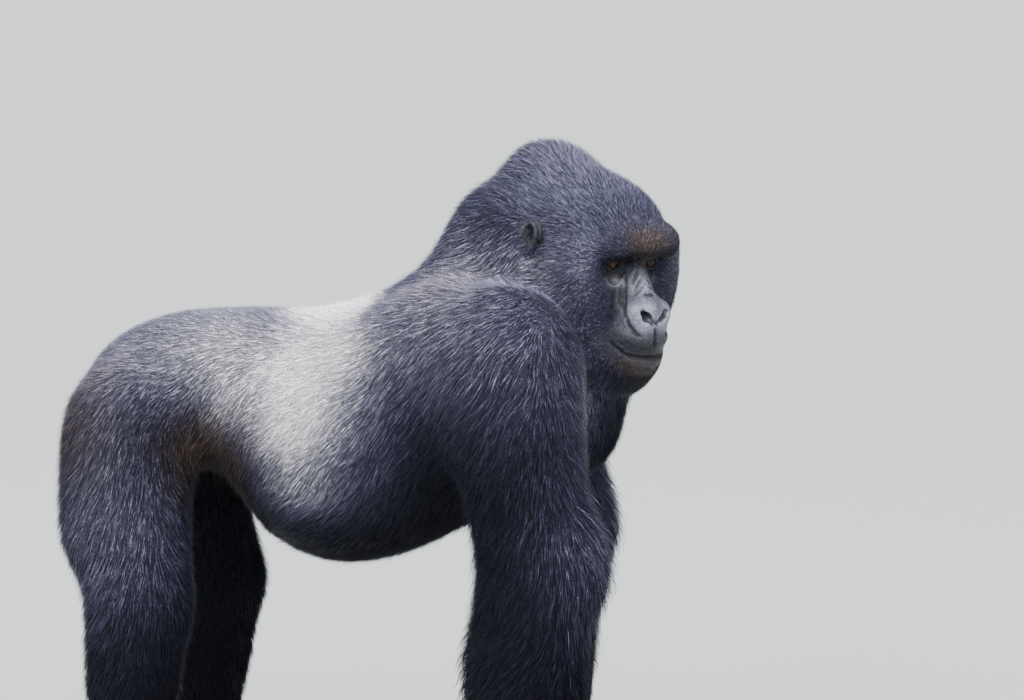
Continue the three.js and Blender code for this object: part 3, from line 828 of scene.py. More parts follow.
@dataclass
class Grooming:
    """Blends the combs into one smooth field.

    Args:
        limbs: the joints, for each limb's step along x.
        near: distance in millimetres within which a comb's pull levels off.
        power: how quickly a comb's pull falls with distance.
    """

    limbs: Limbs
    near: float = 14.0
    power: float = 4.0
    places: Array = field(init=False)
    values: Array = field(init=False)

    def __post_init__(self) -> None:
        """Mirrors every comb to both sides and gathers them in two tables."""
        places, values = [], []
        for name, side in SIDES.items():
            mirror = np.array([1.0, side, 1.0])
            for combs, place, step in (
                (TRUNK_COMBS, BODY, 0.0),
                (ARM_COMBS, BODY, self.limbs.arm_step[name]),
                (LEG_COMBS, BODY, self.limbs.leg_step[name] * self.limbs.foot_share),
                (HEAD_COMBS, HEAD, 0.0),
            ):
                for comb in combs:
                    spot = place.out(np.array(comb.place) * mirror) + np.array([step, 0.0, 0.0])
                    way = place.out_way(unit(np.array(comb.lie)) * mirror)
                    places.append(spot)
                    values.append([*way, comb.length, comb.depth, comb.cover, comb.width])
        self.places = np.array(places)
        self.values = np.array(values)

    def at(self, points: Array, chunk: int = 20000) -> Lie:
        """The coat at points.

        Args:
            points: spots in the body's frame.
            chunk: how many spots are worked out at a time.

        Returns:
            The coat there; its ways aren't yet laid along the skin.
        """
        rows = []
        for start in range(0, len(points), chunk):
            part = points[start : start + chunk]
            gap = (part**2).sum(1)[:, None] + (self.places**2).sum(1)[None] - 2 * part @ self.places.T
            pull = 1 / (np.maximum(gap, 0) + self.near**2) ** (self.power / 2)
            rows.append(pull @ self.values / pull.sum(1, keepdims=True))
        table = np.concatenate(rows)
        return Lie(table[:, :3], table[:, 3], table[:, 4], table[:, 5], table[:, 6])

    def depth_on_grid(self, lines: Sequence[Array], pitch: float = 16.0) -> Array:
        """The coat's depth on a grid, blended from a coarser one.

        Args:
            lines: the grid's lines along x, y and z.
            pitch: the coarser grid's spacing.

        Returns:
            A depth for each crossing of the lines.
        """
        coarse = [np.arange(line[0], line[-1] + pitch, pitch) for line in lines]
        spots = np.stack(np.meshgrid(*coarse, indexing="ij"), -1).reshape(-1, 3)
        values = self.at(spots).depth.reshape([len(line) for line in coarse])
        for axis, (line, knots) in enumerate(zip(lines, coarse)):
            share = np.clip((line - knots[0]) / pitch, 0, len(knots) - 1.001)
            low = share.astype(int)
            part = (share - low).reshape([-1 if other == axis else 1 for other in range(3)])
            values = np.take(values, low, axis) * (1 - part) + np.take(values, low + 1, axis) * part
        return values


# ---------------------------------------------------------------- the markings


@dataclass(frozen=True)
class Patch:
    """A soft spot of colour, strongest in its middle.

    Args:
        at: its middle; y counts outwards on both sides.
        half: its half sizes.
        strength: how strong it is in the middle.
        place: the frame that it stands in.
        edge: 1 for an edge that fades out slowly, more for a crisper one.
    """

    at: Point
    half: Point
    strength: float
    place: Place = BODY
    edge: float = 1.0

    def amount(self, points: Array) -> Array:
        """How strong the spot is at points.

        Args:
            points: places in the body's frame.

        Returns:
            A strength for each.
        """
        spots = self.place.into(points)
        spots = np.stack([spots[:, 0], np.abs(spots[:, 1]), spots[:, 2]], 1)
        off = (((spots - np.array(self.at)) / np.array(self.half)) ** 2).sum(1)
        return self.strength * np.exp(-(off**self.edge))


def spread(patches: Sequence[Patch], points: Array) -> Array:
    """How strong a set of soft spots is together, never more than 1.

    Args:
        patches: the spots.
        points: where to look.

    Returns:
        A strength for each point.
    """
    left = np.ones(len(points))
    for patch in patches:
        left *= 1 - patch.amount(points)
    return 1 - left


FLANK_FOLD = Place((-104.0, 0.0, 794.0), (0.0, -37.0, 0.0))


@dataclass(frozen=True)
class Markings:
    """Where the coat and the skin are silver, black, brown or pale; the dark patches are mostly painted
    shade, the pale ones painted sheen, and some grey ones partly painted sheen.
    """

    # The saddle, loin and flank patches are the coat's own silver; further down the list, grey patches are
    # partly painted sheen.
    silvers_and_painted_sheen: tuple[Patch, ...] = (
        Patch((-10, 0, 885), (95, 196, 62), 1.00, edge=3.0),
        # a paler band along the flank fold: partly silver coat, partly a painted highlight on the fold's lit
        # ridge
        Patch((1, 185, 0), (74, 60, 10), 0.55, FLANK_FOLD),
        Patch((-52, 200, 775), (88, 179, 108), 1.00, edge=1.5),
        Patch((-54, 241, 704), (69, 126, 68), 1.00),
        Patch((19, 210, 828), (75, 102, 79), 0.99),
        Patch((-38, 259, 610), (67, 94, 42), 0.49),
        Patch((62, 239, 689), (66, 120, 92), 0.14),
        Patch((-171, 192, 742), (37, 81, 56), 0.60),
        Patch((-185, 79, 813), (93, 196, 69), 0.72),
        Patch((-323, 82, 808), (118, 185, 70), 0.34),
        # grey patches on the head, neck, shoulders and limbs: partly the coat's grizzle, partly painted sheen
        # where top light glances off black hair
        Patch((20, 128, 9), (12, 30, 14), 0.25, HEAD),
        Patch((122, 90, 46), (26, 24, 42), 0.13, HEAD),
        Patch((-382, 162, 715), (55, 126, 124), 0.15),
        Patch((-360, 200, 530), (108, 90, 130), 0.22),
        Patch((168, 147, 933), (120, 131, 64), 0.25),
        Patch((215, 213, 850), (137, 124, 96), 0.34),
        Patch((318, 261, 802), (90, 101, 119), 0.15),
        Patch((394, 172, 742), (58, 80, 82), 0.44),
        Patch((435, 261, 538), (84, 141, 135), 0.15),
        Patch((236, 91, 964), (70, 100, 60), 0.15),
        Patch((-61, 9, 128), (180, 106, 90), 0.17, HEAD),
        Patch((24, 100, 5), (60, 73, 48), 0.15, HEAD),
        Patch((63, 90, -32), (75, 52, 105), 0.27, HEAD),
        Patch((-108, 123, -25), (80, 110, 95), 0.14, HEAD),
    )
    # mostly painted shade: under the brow and between the eyes, beside the nose, under the nose on the upper
    # lip, in the ear's hollow, in the armpit and under the belly
    darks_and_painted_shade: tuple[Patch, ...] = (
        Patch((134, 38, 64), (26, 30, 15), 1.0, HEAD, 2.0),
        Patch((142, 0, 60), (22, 26, 13), 0.90, HEAD, 2.0),
        Patch((151, 44, -4), (15, 11, 19), 0.22, HEAD),
        Patch((196, 0, -60), (34, 56, 13), 0.55, HEAD),
        Patch((168, 42, -34), (18, 14, 18), 0.35, HEAD),
        Patch((110, 70, 40), (26, 16, 34), 0.25, HEAD),
        Patch((10, 118, 46), (16, 20, 19), 0.6, HEAD, 2.0),
        Patch((240, 215, 620), (70, 40, 120), 0.9),
        Patch((60, 150, 480), (200, 200, 60), 0.9),
    )
    browns: tuple[Patch, ...] = (
        Patch((-205, 150, 650), (60, 90, 66), 0.85),
        Patch((-400, 130, 690), (80, 90, 100), 0.4),
        Patch((185, 150, 930), (60, 70, 40), 0.25),
        Patch((150, 8, 92), (22, 34, 18), 0.6, HEAD),
        Patch((215, 20, -98), (35, 36, 16), 0.50, HEAD),
    )
    # painted sheen: paler skin on the bridge and pad of the nose and under the eye stands for the wet shine
    # of top light; the same spots are made wetter and sleeker
    wet_spots_and_painted_sheen: tuple[Patch, ...] = (
        Patch((164, 0, 14), (20, 19, 22), 0.72, HEAD),
        Patch((201, 16, -14), (24, 26, 20), 1.0, HEAD),
        Patch((139, 36, 21), (12, 14, 7), 0.40, HEAD),
    )

    def at(self, points: Array) -> dict[str, Array]:
        """Each marking's strength at points.

        Args:
            points: places in the body's frame.

        Returns:
            The strengths, by the marking's name.
        """
        # the dark patches, mostly painted shade, also hold the silver back
        dark = spread(self.darks_and_painted_shade, points)
        return {
            "silver": spread(self.silvers_and_painted_sheen, points) * (1 - dark),
            "dark": dark,
            "brown": spread(self.browns, points),
            "pale": spread(self.wet_spots_and_painted_sheen, points),
        }


# -------------------------------------------------------------- making meshes


@dataclass(frozen=True)
class Origin:
    """Where the body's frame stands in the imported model's frame."""

    shift: Array

    @classmethod
    def from_eye(cls, face: Face) -> "Origin":
        """Finds it from the right eye, a ball in both.

        Args:
            face: the head's landmarks.

        Returns:
            The origin.
        """
        low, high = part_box("eye_right")
        x, y, z = face.eye
        middle = np.array((low + high) / 2) / METRES
        return cls(middle - HEAD.out(np.array([x, -y, z])))

    def metres(self, points: Array) -> Array:
        """Points of the body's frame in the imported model's frame, in metres."""
        return (points + self.shift) * METRES


def new_object(name: str, data: bpy.types.ID) -> bpy.types.Object:
    """An object that is linked to the scene.

    Args:
        name: its name.
        data: its mesh, light or camera.

    Returns:
        The object.
    """
    thing = bpy.data.objects.new(name, data)
    bpy.context.scene.collection.objects.link(thing)
    return thing


def small_mesh(name: str, points: Array, faces: list[tuple[int, ...]]) -> bpy.types.Object:
    """A smooth mesh object from points in metres and faces with any number of corners.

    Args:
        name: the name of the mesh and the object.
        points: the vertices.
        faces: the corners of each face.

    Returns:
        The object.
    """
    mesh = bpy.data.meshes.new(name)
    mesh.from_pydata(points.tolist(), [], faces)
    mesh.polygons.foreach_set("use_smooth", [True] * len(mesh.polygons))
    return new_object(name, mesh)


def new_mesh(name: str, points: Array, faces: Array, smooth: bool = True) -> bpy.types.Object:
    """A mesh object from points in metres and faces that all have the same number of corners.

    Args:
        name: the name of the mesh and the object.
        points: the vertices.
        faces: the corners of each face, one row for each.
        smooth: whether it is shaded smooth.

    Returns:
        The object, linked to the scene.
    """
    mesh = bpy.data.meshes.new(name)
    corners = faces.shape[1]
    mesh.vertices.add(len(points))
    mesh.vertices.foreach_set("co", points.astype(np.float32).ravel())
    mesh.loops.add(faces.size)
    mesh.loops.foreach_set("vertex_index", faces.astype(np.int32).ravel())
    mesh.polygons.add(len(faces))
    mesh.polygons.foreach_set("loop_start", np.arange(0, faces.size, corners, dtype=np.int32))
    mesh.update(calc_edges=True)
    mesh.polygons.foreach_set("use_smooth", np.full(len(faces), smooth))
    mesh.validate()
    return new_object(name, mesh)


def put_values(piece: bpy.types.Object, name: str, values: Array) -> None:
    """Stores one number for each vertex, which materials read by its name."""
    attribute = piece.data.attributes.new(name, "FLOAT", "POINT")
    attribute.data.foreach_set("value", values.astype(np.float32))


def vertex_points(mesh: bpy.types.Mesh) -> Array:
    """A mesh's vertices as rows.

    Args:
        mesh: the mesh.

    Returns:
        Their places, in metres.
    """
    points = np.zeros(len(mesh.vertices) * 3, np.float32)
    mesh.vertices.foreach_get("co", points)
    return points.reshape(-1, 3).astype(float)


def surface(distance: Array, lines: Sequence[Array]) -> tuple[Array, Array]:
    """The surface where a distance on a grid is nought, with one vertex in each cell that it crosses.

    Args:
        distance: values at the crossings of the lines.
        lines: the grid's lines along x, y and z.

    Returns:
        The vertices and the four-cornered faces, facing out.
    """
    inside = distance < 0
    cells = np.array(distance.shape) - 1
    count = np.zeros(cells, np.int8)
    for corner in range(8):
        x, y, z = (corner >> axis & 1 for axis in range(3))
        count += inside[x : x + cells[0], y : y + cells[1], z : z + cells[2]]
    crossed = (count > 0) & (count < 8)
    index = np.full(cells, -1, np.int64)
    spots = np.argwhere(crossed)
    index[crossed] = np.arange(len(spots))

    total = np.zeros((len(spots), 3))
    number = np.zeros(len(spots))
    for axis in range(3):
        others = [(axis + 1) % 3, (axis + 2) % 3]
        for corner in range(4):
            first = spots.copy()
            first[:, others[0]] += corner & 1
            first[:, others[1]] += corner >> 1
            second = first.copy()
            second[:, axis] += 1
            start, end = distance[tuple(first.T)], distance[tuple(second.T)]
            cut = (start < 0) != (end < 0)
            share = np.where(cut, start / np.where(cut, start - end, 1), 0)
            spot = np.stack([line[first[:, a]] for a, line in enumerate(lines)], 1)
            line = lines[axis]
            spot[:, axis] += share * (line[second[:, axis]] - line[first[:, axis]])
            total[cut] += spot[cut]
            number[cut] += 1
    vertices = total / number[:, None]

    faces = []
    for axis in range(3):
        b, c = (axis + 1) % 3, (axis + 2) % 3
        near, far = [slice(None)] * 3, [slice(None)] * 3
        near[axis], far[axis] = slice(0, cells[axis]), slice(1, cells[axis] + 1)
        starts_inside = inside[tuple(near)]
        edges = np.argwhere(starts_inside != inside[tuple(far)])
        inner = (edges[:, b] > 0) & (edges[:, b] < cells[b]) & (edges[:, c] > 0) & (edges[:, c] < cells[c])
        edges = edges[inner]
        ring = []
        for back_b, back_c in ((1, 1), (0, 1), (0, 0), (1, 0)):
            cell = edges.copy()
            cell[:, b] -= back_b
            cell[:, c] -= back_c
            ring.append(index[tuple(cell.T)])
        quads = np.stack(ring, 1)
        flipped = ~starts_inside[tuple(edges.T)]
        quads[flipped] = quads[flipped][:, ::-1]
        faces.append(quads)
    return vertices, np.concatenate(faces)


@dataclass(frozen=True)
class Zone:
    """A stretch along one axis where the grid's lines stand closer."""

    low: float
    high: float
    spacing: float


def spaced(low: float, high: float, base: float, zones: Sequence[Zone], growth: float = 0.22) -> Array:
    """Grid lines from low to high that close up gradually round each zone.

    Args:
        low: the first line.
        high: the last line stands here or just past it.
        base: the widest spacing.
        zones: where the lines stand closer.
        growth: how quickly the spacing widens away from a zone.

    Returns:
        The lines.
    """
    lines = [low]
    while lines[-1] < high:
        at = lines[-1]
        steps = [base]
        for zone in zones:
            off = max(zone.low - at, at - zone.high, 0.0)
            steps.append(zone.spacing + growth * off)
        lines.append(at + min(steps))
    return np.array(lines)


# -------------------------------------------------------------------- finishes


def socket_value(node: bpy.types.Node, name: str, value: object) -> None:
    """Sets a constant on a node's own socket."""
    node.inputs[name].default_value = value


class Shader:
    """A short way to add nodes to a material or a node group and to join them."""

    def __init__(self, tree: bpy.types.NodeTree) -> None:
        """Works on one node tree."""
        self.tree = tree

    def node(self, kind: str, **settings: object) -> bpy.types.Node:
        """A new node with some of its settings.

        Args:
            kind: the type of node.
            settings: its settings by name.

        Returns:
            The node.
        """
        node = self.tree.nodes.new(kind)
        for name, value in settings.items():
            setattr(node, name, value)
        return node

    def join(self, source: object, target: object) -> None:
        """Joins an output socket to an input socket."""
        self.tree.links.new(source, target)

    def value(self, name: str) -> object:
        """The output of a stored vertex value."""
        return self.node("ShaderNodeAttribute", attribute_name=name).outputs["Fac"]

    def math(self, operation: str, first: object, second: object = 0.0, clamp: bool = False) -> object:
        """The output of a sum of two sockets or numbers.

        Args:
            operation: the sum to work out.
            first: a socket or a number.
            second: a socket or a number.
            clamp: whether the result is held between 0 and 1.

        Returns:
            The socket.
        """
        node = self.node("ShaderNodeMath", operation=operation, use_clamp=clamp)
        for socket, given in zip(node.inputs, (first, second)):
            if isinstance(given, (int, float)):
                socket.default_value = given
            else:
                self.join(given, socket)
        return node.outputs[0]

    def mix(self, share: object, first: object, second: object, blend: str = "MIX") -> object:
        """The output of a mix of two colours.

        Args:
            share: how much of the second, a socket or a number.
            first: a socket or a colour.
            second: a socket or a colour.
            blend: how they are mixed.

        Returns:
            The socket.
        """
        node = self.node("ShaderNodeMix", data_type="RGBA", blend_type=blend)
        for socket, given in ((node.inputs[0], share), (node.inputs[6], first), (node.inputs[7], second)):
            if isinstance(given, (int, float, tuple)):
                socket.default_value = given
            else:
                self.join(given, socket)
        return node.outputs[2]

    def noise(self, scale: float, detail: float = 3.0, stretch: Point = (1.0, 1.0, 1.0)) -> object:
        """The output of a noise over the object's own coordinates.

        Args:
            scale: how fine it is.
            detail: how many finer layers it has.
            stretch: its scale along each axis.

        Returns:
            The socket.
        """
        mapping = self.node("ShaderNodeMapping")
        socket_value(mapping, "Scale", stretch)
        self.join(self.node("ShaderNodeTexCoord").outputs["Object"], mapping.inputs["Vector"])
        node = self.node("ShaderNodeTexNoise")
        socket_value(node, "Scale", scale)
        socket_value(node, "Detail", detail)
        self.join(mapping.outputs[0], node.inputs["Vector"])
        return node.outputs["Fac"]

    def ramp(self, source: object, stops: Sequence[tuple[float, tuple[float, ...]]]) -> object:
        """The output of a colour ramp.

        Args:
            source: the socket that runs along it.
            stops: a place from 0 to 1 and a colour for each stop.

        Returns:
            The socket.
        """
        node = self.node("ShaderNodeValToRGB")
        band = node.color_ramp
        while len(band.elements) < len(stops):
            band.elements.new(1.0)
        for element, (at, colour) in zip(band.elements, stops):
            element.position = at
            element.color = colour
        self.join(source, node.inputs[0])
        return node.outputs[0]


def grey(level: float) -> tuple[float, float, float, float]:
    """An opaque grey."""
    return (level, level, level, 1.0)


@dataclass(frozen=True)
class CoatTone:
    """The colours that the coat and the skin under it share."""

    # the blue tint of the darker stops is a painted reflection of the sky on the glossy black hair
    scale: tuple[tuple[float, tuple[float, ...]], ...] = (
        (0.0, (0.0020, 0.0020, 0.0085, 1)),
        (0.15, (0.066, 0.065, 0.116, 1)),
        (0.50, (0.230, 0.224, 0.288, 1)),
        (0.80, (0.520, 0.512, 0.560, 1)),
        (1.0, (0.970, 0.960, 0.980, 1)),
    )
    brown: tuple[float, ...] = (0.085, 0.056, 0.038, 1)
    fawn: tuple[float, ...] = (0.32, 0.26, 0.19, 1)
    silver_swing: float = 1.8
    brown_swing: float = 2.0

    def group(self) -> bpy.types.NodeTree:
        """A node group that turns the markings into a colour."""
        name = "coat_tone"
        if name in bpy.data.node_groups:
            return bpy.data.node_groups[name]
        tree = bpy.data.node_groups.new(name, "ShaderNodeTree")
        for socket in ("Silver", "Brown", "Chance"):
            tree.interface.new_socket(name=socket, in_out="INPUT", socket_type="NodeSocketFloat")
        tree.interface.new_socket(name="Color", in_out="OUTPUT", socket_type="NodeSocketColor")
        shader = Shader(tree)
        given = shader.node("NodeGroupInput").outputs
        rare = shader.math("SUBTRACT", shader.math("POWER", given["Chance"], 3.0), 0.25)
        share = {}
        for socket, swing in (("Silver", self.silver_swing), ("Brown", self.brown_swing)):
            rest = shader.math("SUBTRACT", 1.0, given[socket])
            spreading = shader.math("MULTIPLY", shader.math("MULTIPLY", given[socket], rest), swing)
            offset = shader.math("MULTIPLY", spreading, rare)
            share[socket] = shader.math("ADD", given[socket], offset, clamp=True)
        colour = shader.ramp(share["Silver"], self.scale)
        tinted = shader.mix(share["Silver"], self.brown, self.fawn)
        colour = shader.mix(share["Brown"], colour, tinted)
        shader.join(colour, shader.node("NodeGroupOutput").inputs["Color"])
        return tree


def add_tone(shader: Shader, tone: CoatTone) -> object:
    """Places the coat's colour group and feeds it the stored markings.

    Args:
        shader: the material to place it in.
        tone: the colours.

    Returns:
        The group's colour output.
    """
    node = shader.node("ShaderNodeGroup", node_tree=tone.group())
    for socket in ("Silver", "Brown", "Chance"):
        shader.join(shader.value(socket.lower()), node.inputs[socket])
    return node.outputs["Color"]


def new_material(name: str) -> tuple[bpy.types.Material, Shader, bpy.types.Node]:
    """A material with nothing but its Principled shader.

    Args:
        name: the material's name.

    Returns:
        The material, a way to add nodes to it, and its Principled node.
    """
    material = bpy.data.materials.new(name)
    material.use_nodes = True
    return material, Shader(material.node_tree), material.node_tree.nodes["Principled BSDF"]


@dataclass(frozen=True)
class HairFinish:
    """The look of the tufts: painted shade darkening each tuft towards its root, every tuft a little
    different, a few with painted glints.
    """

    name: str = "hair"
    roughness: float = 0.30
    rough_swing: float = 0.22
    specular: float = 0.11
    sheen: float = 0.03
    sheen_tint: tuple[float, ...] = (0.72, 0.76, 1.0, 1)
    tone: CoatTone = field(default_factory=CoatTone)

    def material(self) -> bpy.types.Material:
        """Builds the material."""
        material, shader, surface_node = new_material(self.name)
        colour = add_tone(shader, self.tone)
        along = shader.value("along")
        # painted shade: each tuft darker towards its root, where the coat shades it, and a little paler at
        # its tip
        shade = shader.ramp(along, [(0.0, grey(0.25)), (0.45, grey(0.75)), (1.0, grey(1.1))])
        colour = shader.mix(1.0, colour, shade, "MULTIPLY")
        chance = shader.value("chance")
        # each tuft's own tone at random; the brightest few tufts are painted glints, painted highlights on
        # single hairs
        stops = [(0.0, grey(0.5)), (0.5, grey(0.85)), (0.85, grey(1.2)), (0.99, grey(2.2))]
        glint = shader.ramp(chance, stops)
        colour = shader.mix(1.0, colour, glint, "MULTIPLY")
        grain = shader.ramp(shader.noise(360.0, 2.0), [(0.36, grey(0.45)), (0.64, grey(1.6))])
        colour = shader.mix(1.0, colour, grain, "MULTIPLY")
        shader.join(colour, surface_node.inputs["Base Color"])
        rough = shader.math("MULTIPLY", chance, self.rough_swing)
        shader.join(shader.math("ADD", rough, self.roughness), surface_node.inputs["Roughness"])
        socket_value(surface_node, "Specular IOR Level", self.specular)
        socket_value(surface_node, "Sheen Weight", self.sheen)
        socket_value(surface_node, "Sheen Roughness", 0.45)
        socket_value(surface_node, "Sheen Tint", self.sheen_tint)
        return material


@dataclass(frozen=True)
class SkinFinish:
    """Bare dark skin with painted sheen on its pale spots and painted shade in its creases and dark patches,
    and the dark skin under the coat with the coat's own markings.
    """

    name: str = "hide"
    bare: tuple[float, ...] = (0.010, 0.010, 0.015, 1)
    worn: tuple[float, ...] = (0.029, 0.029, 0.040, 1)
    # pale: a painted sheen colour, the wet shine of top light on the nose and under the eyes
    pale: tuple[float, ...] = (0.270, 0.270, 0.360, 1)
    # painted shade: how far the creases darken the bare skin
    painted_crease_shade: float = 0.82
    roughness: float = 0.32
    rough_under_coat: float = 0.35
    rough_swing: float = 0.16
    sleekness: float = 0.08
    specular: float = 0.20
    wet: float = 1.1
    wet_roughness: float = 0.36
    tone: CoatTone = field(default_factory=CoatTone)

    def material(self) -> bpy.types.Material:
        """Builds the material."""
        material, shader, surface_node = new_material(self.name)
        cover = shader.value("cover")
        coat = shader.mix(1.0, add_tone(shader, self.tone), grey(0.5), "MULTIPLY")
        bare = shader.mix(shader.noise(38.0, 5.0), self.bare, self.worn)
        # painted sheen: the pale spots turn paler and bluish
        bare = shader.mix(shader.value("pale"), bare, self.pale)
        mottle = shader.ramp(shader.noise(230.0, 4.0), [(0.3, grey(0.62)), (0.7, grey(1.35))])
        bare = shader.mix(1.0, bare, mottle, "MULTIPLY")
        # painted shade: the dark patches darken the bare skin nearly to black
        bare = shader.mix(shader.math("MULTIPLY", shader.value("dark"), 0.9), bare, grey(0.005))
        # painted shade in the creases: the deeper the skin lies in a groove, the darker
        crease = shader.math("MULTIPLY", shader.value("crease"), self.painted_crease_shade)
        bare = shader.mix(crease, bare, grey(0.004))
        bare = shader.mix(shader.math("MULTIPLY", shader.value("brown"), 0.55), bare, self.tone.brown)
        shader.join(shader.mix(cover, bare, coat), surface_node.inputs["Base Color"])
        matt = shader.math("MULTIPLY", cover, self.rough_under_coat)
        patchy = shader.math("MULTIPLY", shader.noise(90.0), self.rough_swing)
        sleek = shader.math("MULTIPLY", shader.value("pale"), self.sleekness)
        patchy = shader.math("SUBTRACT", patchy, sleek)
        rough = shader.math("ADD", shader.math("ADD", matt, patchy), self.roughness)
        shader.join(rough, surface_node.inputs["Roughness"])
        socket_value(surface_node, "Specular IOR Level", self.specular)
        socket_value(surface_node, "Coat Roughness", self.wet_roughness)
        wet = shader.math("MULTIPLY", shader.value("pale"), self.wet, clamp=True)
        shader.join(wet, surface_node.inputs["Coat Weight"])
        shader.join(self.relief(shader), surface_node.inputs["Normal"])
        return material

    def relief(self, shader: Shader) -> object:
        """Fine wrinkles and pores, as a normal.

        Args:
            shader: the material to add it to.

        Returns:
            The normal.
        """
        cells = shader.node("ShaderNodeTexVoronoi", feature="DISTANCE_TO_EDGE")
        socket_value(cells, "Scale", 260.0)
        shader.join(shader.node("ShaderNodeTexCoord").outputs["Object"], cells.inputs["Vector"])
        pores = shader.math("MINIMUM", cells.outputs["Distance"], 0.12)
        height = shader.math("ADD", shader.math("MULTIPLY", pores, 1.5), shader.noise(140.0, 6.0))
        bump = shader.node("ShaderNodeBump")
        socket_value(bump, "Strength", 0.85)
        socket_value(bump, "Distance", 0.0050)
        shader.join(height, bump.inputs["Height"])
        return bump.outputs["Normal"]


@dataclass(frozen=True)
class EyeFinish:
    """A wet eye: black pupil, brown iris, dark brown white."""

    name: str = "wet_eye"

    def material(self) -> bpy.types.Material:
        """Builds the material."""
        material, shader, surface_node = new_material(self.name)
        bands = [
            (0.0, (0.003, 0.002, 0.002, 1)),
            (0.085, (0.003, 0.002, 0.002, 1)),
            (0.100, (0.085, 0.034, 0.024, 1)),
            (0.175, (0.048, 0.019, 0.014, 1)),
            (0.205, (0.012, 0.005, 0.003, 1)),
            (0.26, (0.030, 0.017, 0.012, 1)),
            (1.0, (0.04, 0.024, 0.016, 1)),
        ]
        iris = shader.ramp(shader.value("gaze"), bands)
        flecks = shader.ramp(shader.noise(700.0, 4.0), [(0.3, grey(0.65)), (0.7, grey(1.3))])
        shader.join(shader.mix(1.0, iris, flecks, "MULTIPLY"), surface_node.inputs["Base Color"])
        socket_value(surface_node, "Roughness", 0.35)
        socket_value(surface_node, "Specular IOR Level", 0.08)
        socket_value(surface_node, "Coat Weight", 0.2)
        socket_value(surface_node, "Coat Roughness", 0.03)
        return material


@dataclass(frozen=True)
class NailFinish:
    """Dark horn with fine lengthwise lines."""

    name: str = "nail_horn"

    def material(self) -> bpy.types.Material:
        """Builds the material."""
        material, shader, surface_node = new_material(self.name)
        stops = [(0.3, (0.010, 0.009, 0.009, 1)), (0.7, (0.030, 0.024, 0.021, 1))]
        lines = shader.ramp(shader.noise(300.0, 3.0), stops)
        shader.join(lines, surface_node.inputs["Base Color"])
        socket_value(surface_node, "Roughness", 0.5)
        socket_value(surface_node, "Specular IOR Level", 0.25)
        bump = shader.node("ShaderNodeBump")
        socket_value(bump, "Strength", 0.3)
        socket_value(bump, "Distance", 0.0004)
        shader.join(shader.noise(500.0), bump.inputs["Height"])
        shader.join(bump.outputs["Normal"], surface_node.inputs["Normal"])
        return material


def dress(piece: bpy.types.Object, material: bpy.types.Material) -> None:
    """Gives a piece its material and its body.

    Args:
        piece: the object.
        material: its material.
    """
    piece.data.materials.clear()
    piece.data.materials.append(material)
    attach(piece, "root")


# -------------------------------------------------------------------- the skin


@dataclass
class Hide:
    """The one skin under the whole coat.

    Args:
        anatomy: the forms.
        grooming: the coat's depth.
        markings: the coat's colours.
        origin: where the body's frame stands.
        spacing: the grid's widest spacing.
        fine: its spacing over the face.
        thinning: the share of its faces that are kept under the coat.
    """

    anatomy: Anatomy
    grooming: Grooming
    markings: Markings
    origin: Origin
    spacing: float = 9.0
    fine: float = 1.75
    thinning: float = 0.36
    outer: Flesh = field(init=False)
    detail: Flesh = field(init=False)

    def __post_init__(self) -> None:
        """Gathers the outer form and the details."""
        self.outer = self.anatomy.whole()
        self.detail = Flesh(FaceDetail(self.anatomy.face, self.level).forms(), reach=12.0)

    def level(self, points: Array) -> Array:
        """How far points are outside the skin, before its folds."""
        return self.outer.at(points) + self.grooming.at(points).depth

    def grid(self) -> list[Array]:
        """Grid lines, close together over the face and the ears."""
        fine = self.fine
        return [
            spaced(-560, 600, self.spacing, [Zone(405, 562, fine), Zone(300, 335, 4.0)]),
            spaced(-400, 400, self.spacing, [Zone(-168, -18, fine), Zone(50, 80, 4.0)]),
            spaced(-30, 1190, self.spacing, [Zone(782, 1032, fine), Zone(0, 60, 5.0)]),
        ]

    def points_and_faces(self) -> tuple[Array, Array]:
        """The skin's surface in the body's frame."""
        lines = self.grid()
        distance = self.outer.on_grid(lines) + self.grooming.depth_on_grid(lines)
        distance = self.detail.on_grid(lines, distance)
        height = np.maximum(-lines[2] + 0.2, -FAR)
        distance = np.maximum(distance, height[None, None, :])
        points, faces = surface(distance, lines)
        log.info("skin: grid %s, %d faces", [len(line) for line in lines], len(faces))
        return points, faces

    def build(self) -> bpy.types.Object:
        """The skin as a mesh, thinned out where the coat hides it."""
        points, faces = self.points_and_faces()
        piece = new_mesh("hide", self.origin.metres(points), faces)
        cover = self.grooming.at(points).cover
        group = piece.vertex_groups.new(name="thin")
        for index in np.flatnonzero(cover > 0.9).tolist():
            group.add([index], 1.0, "REPLACE")
        thin = piece.modifiers.new("thin", "DECIMATE")
        thin.ratio = self.thinning
        thin.vertex_group = "thin"
        bpy.context.view_layer.objects.active = piece
        bpy.ops.object.modifier_apply(modifier="thin")
        piece.vertex_groups.clear()
        piece.data.polygons.foreach_set("use_smooth", np.full(len(piece.data.polygons), True))
        self.mark(piece)
        return piece

    def mark(self, piece: bpy.types.Object) -> None:
        """Stores the markings on the skin.

        Args:
            piece: the skin.
        """
        points = vertex_points(piece.data) / METRES - self.origin.shift
        put_values(piece, "cover", smooth_step(self.grooming.at(points).cover, 0.25, 0.7))
        put_values(piece, "chance", np.full(len(points), 0.5))
        # crease: how deep the skin lies in its grooves, which the skin's material darkens as painted shade
        put_values(piece, "crease", smooth_step(-self.level(points), 0.35, 2.4))
        for name, values in self.markings.at(points).items():
            put_values(piece, name, values)


# -------------------------------------------------------------------- the coat


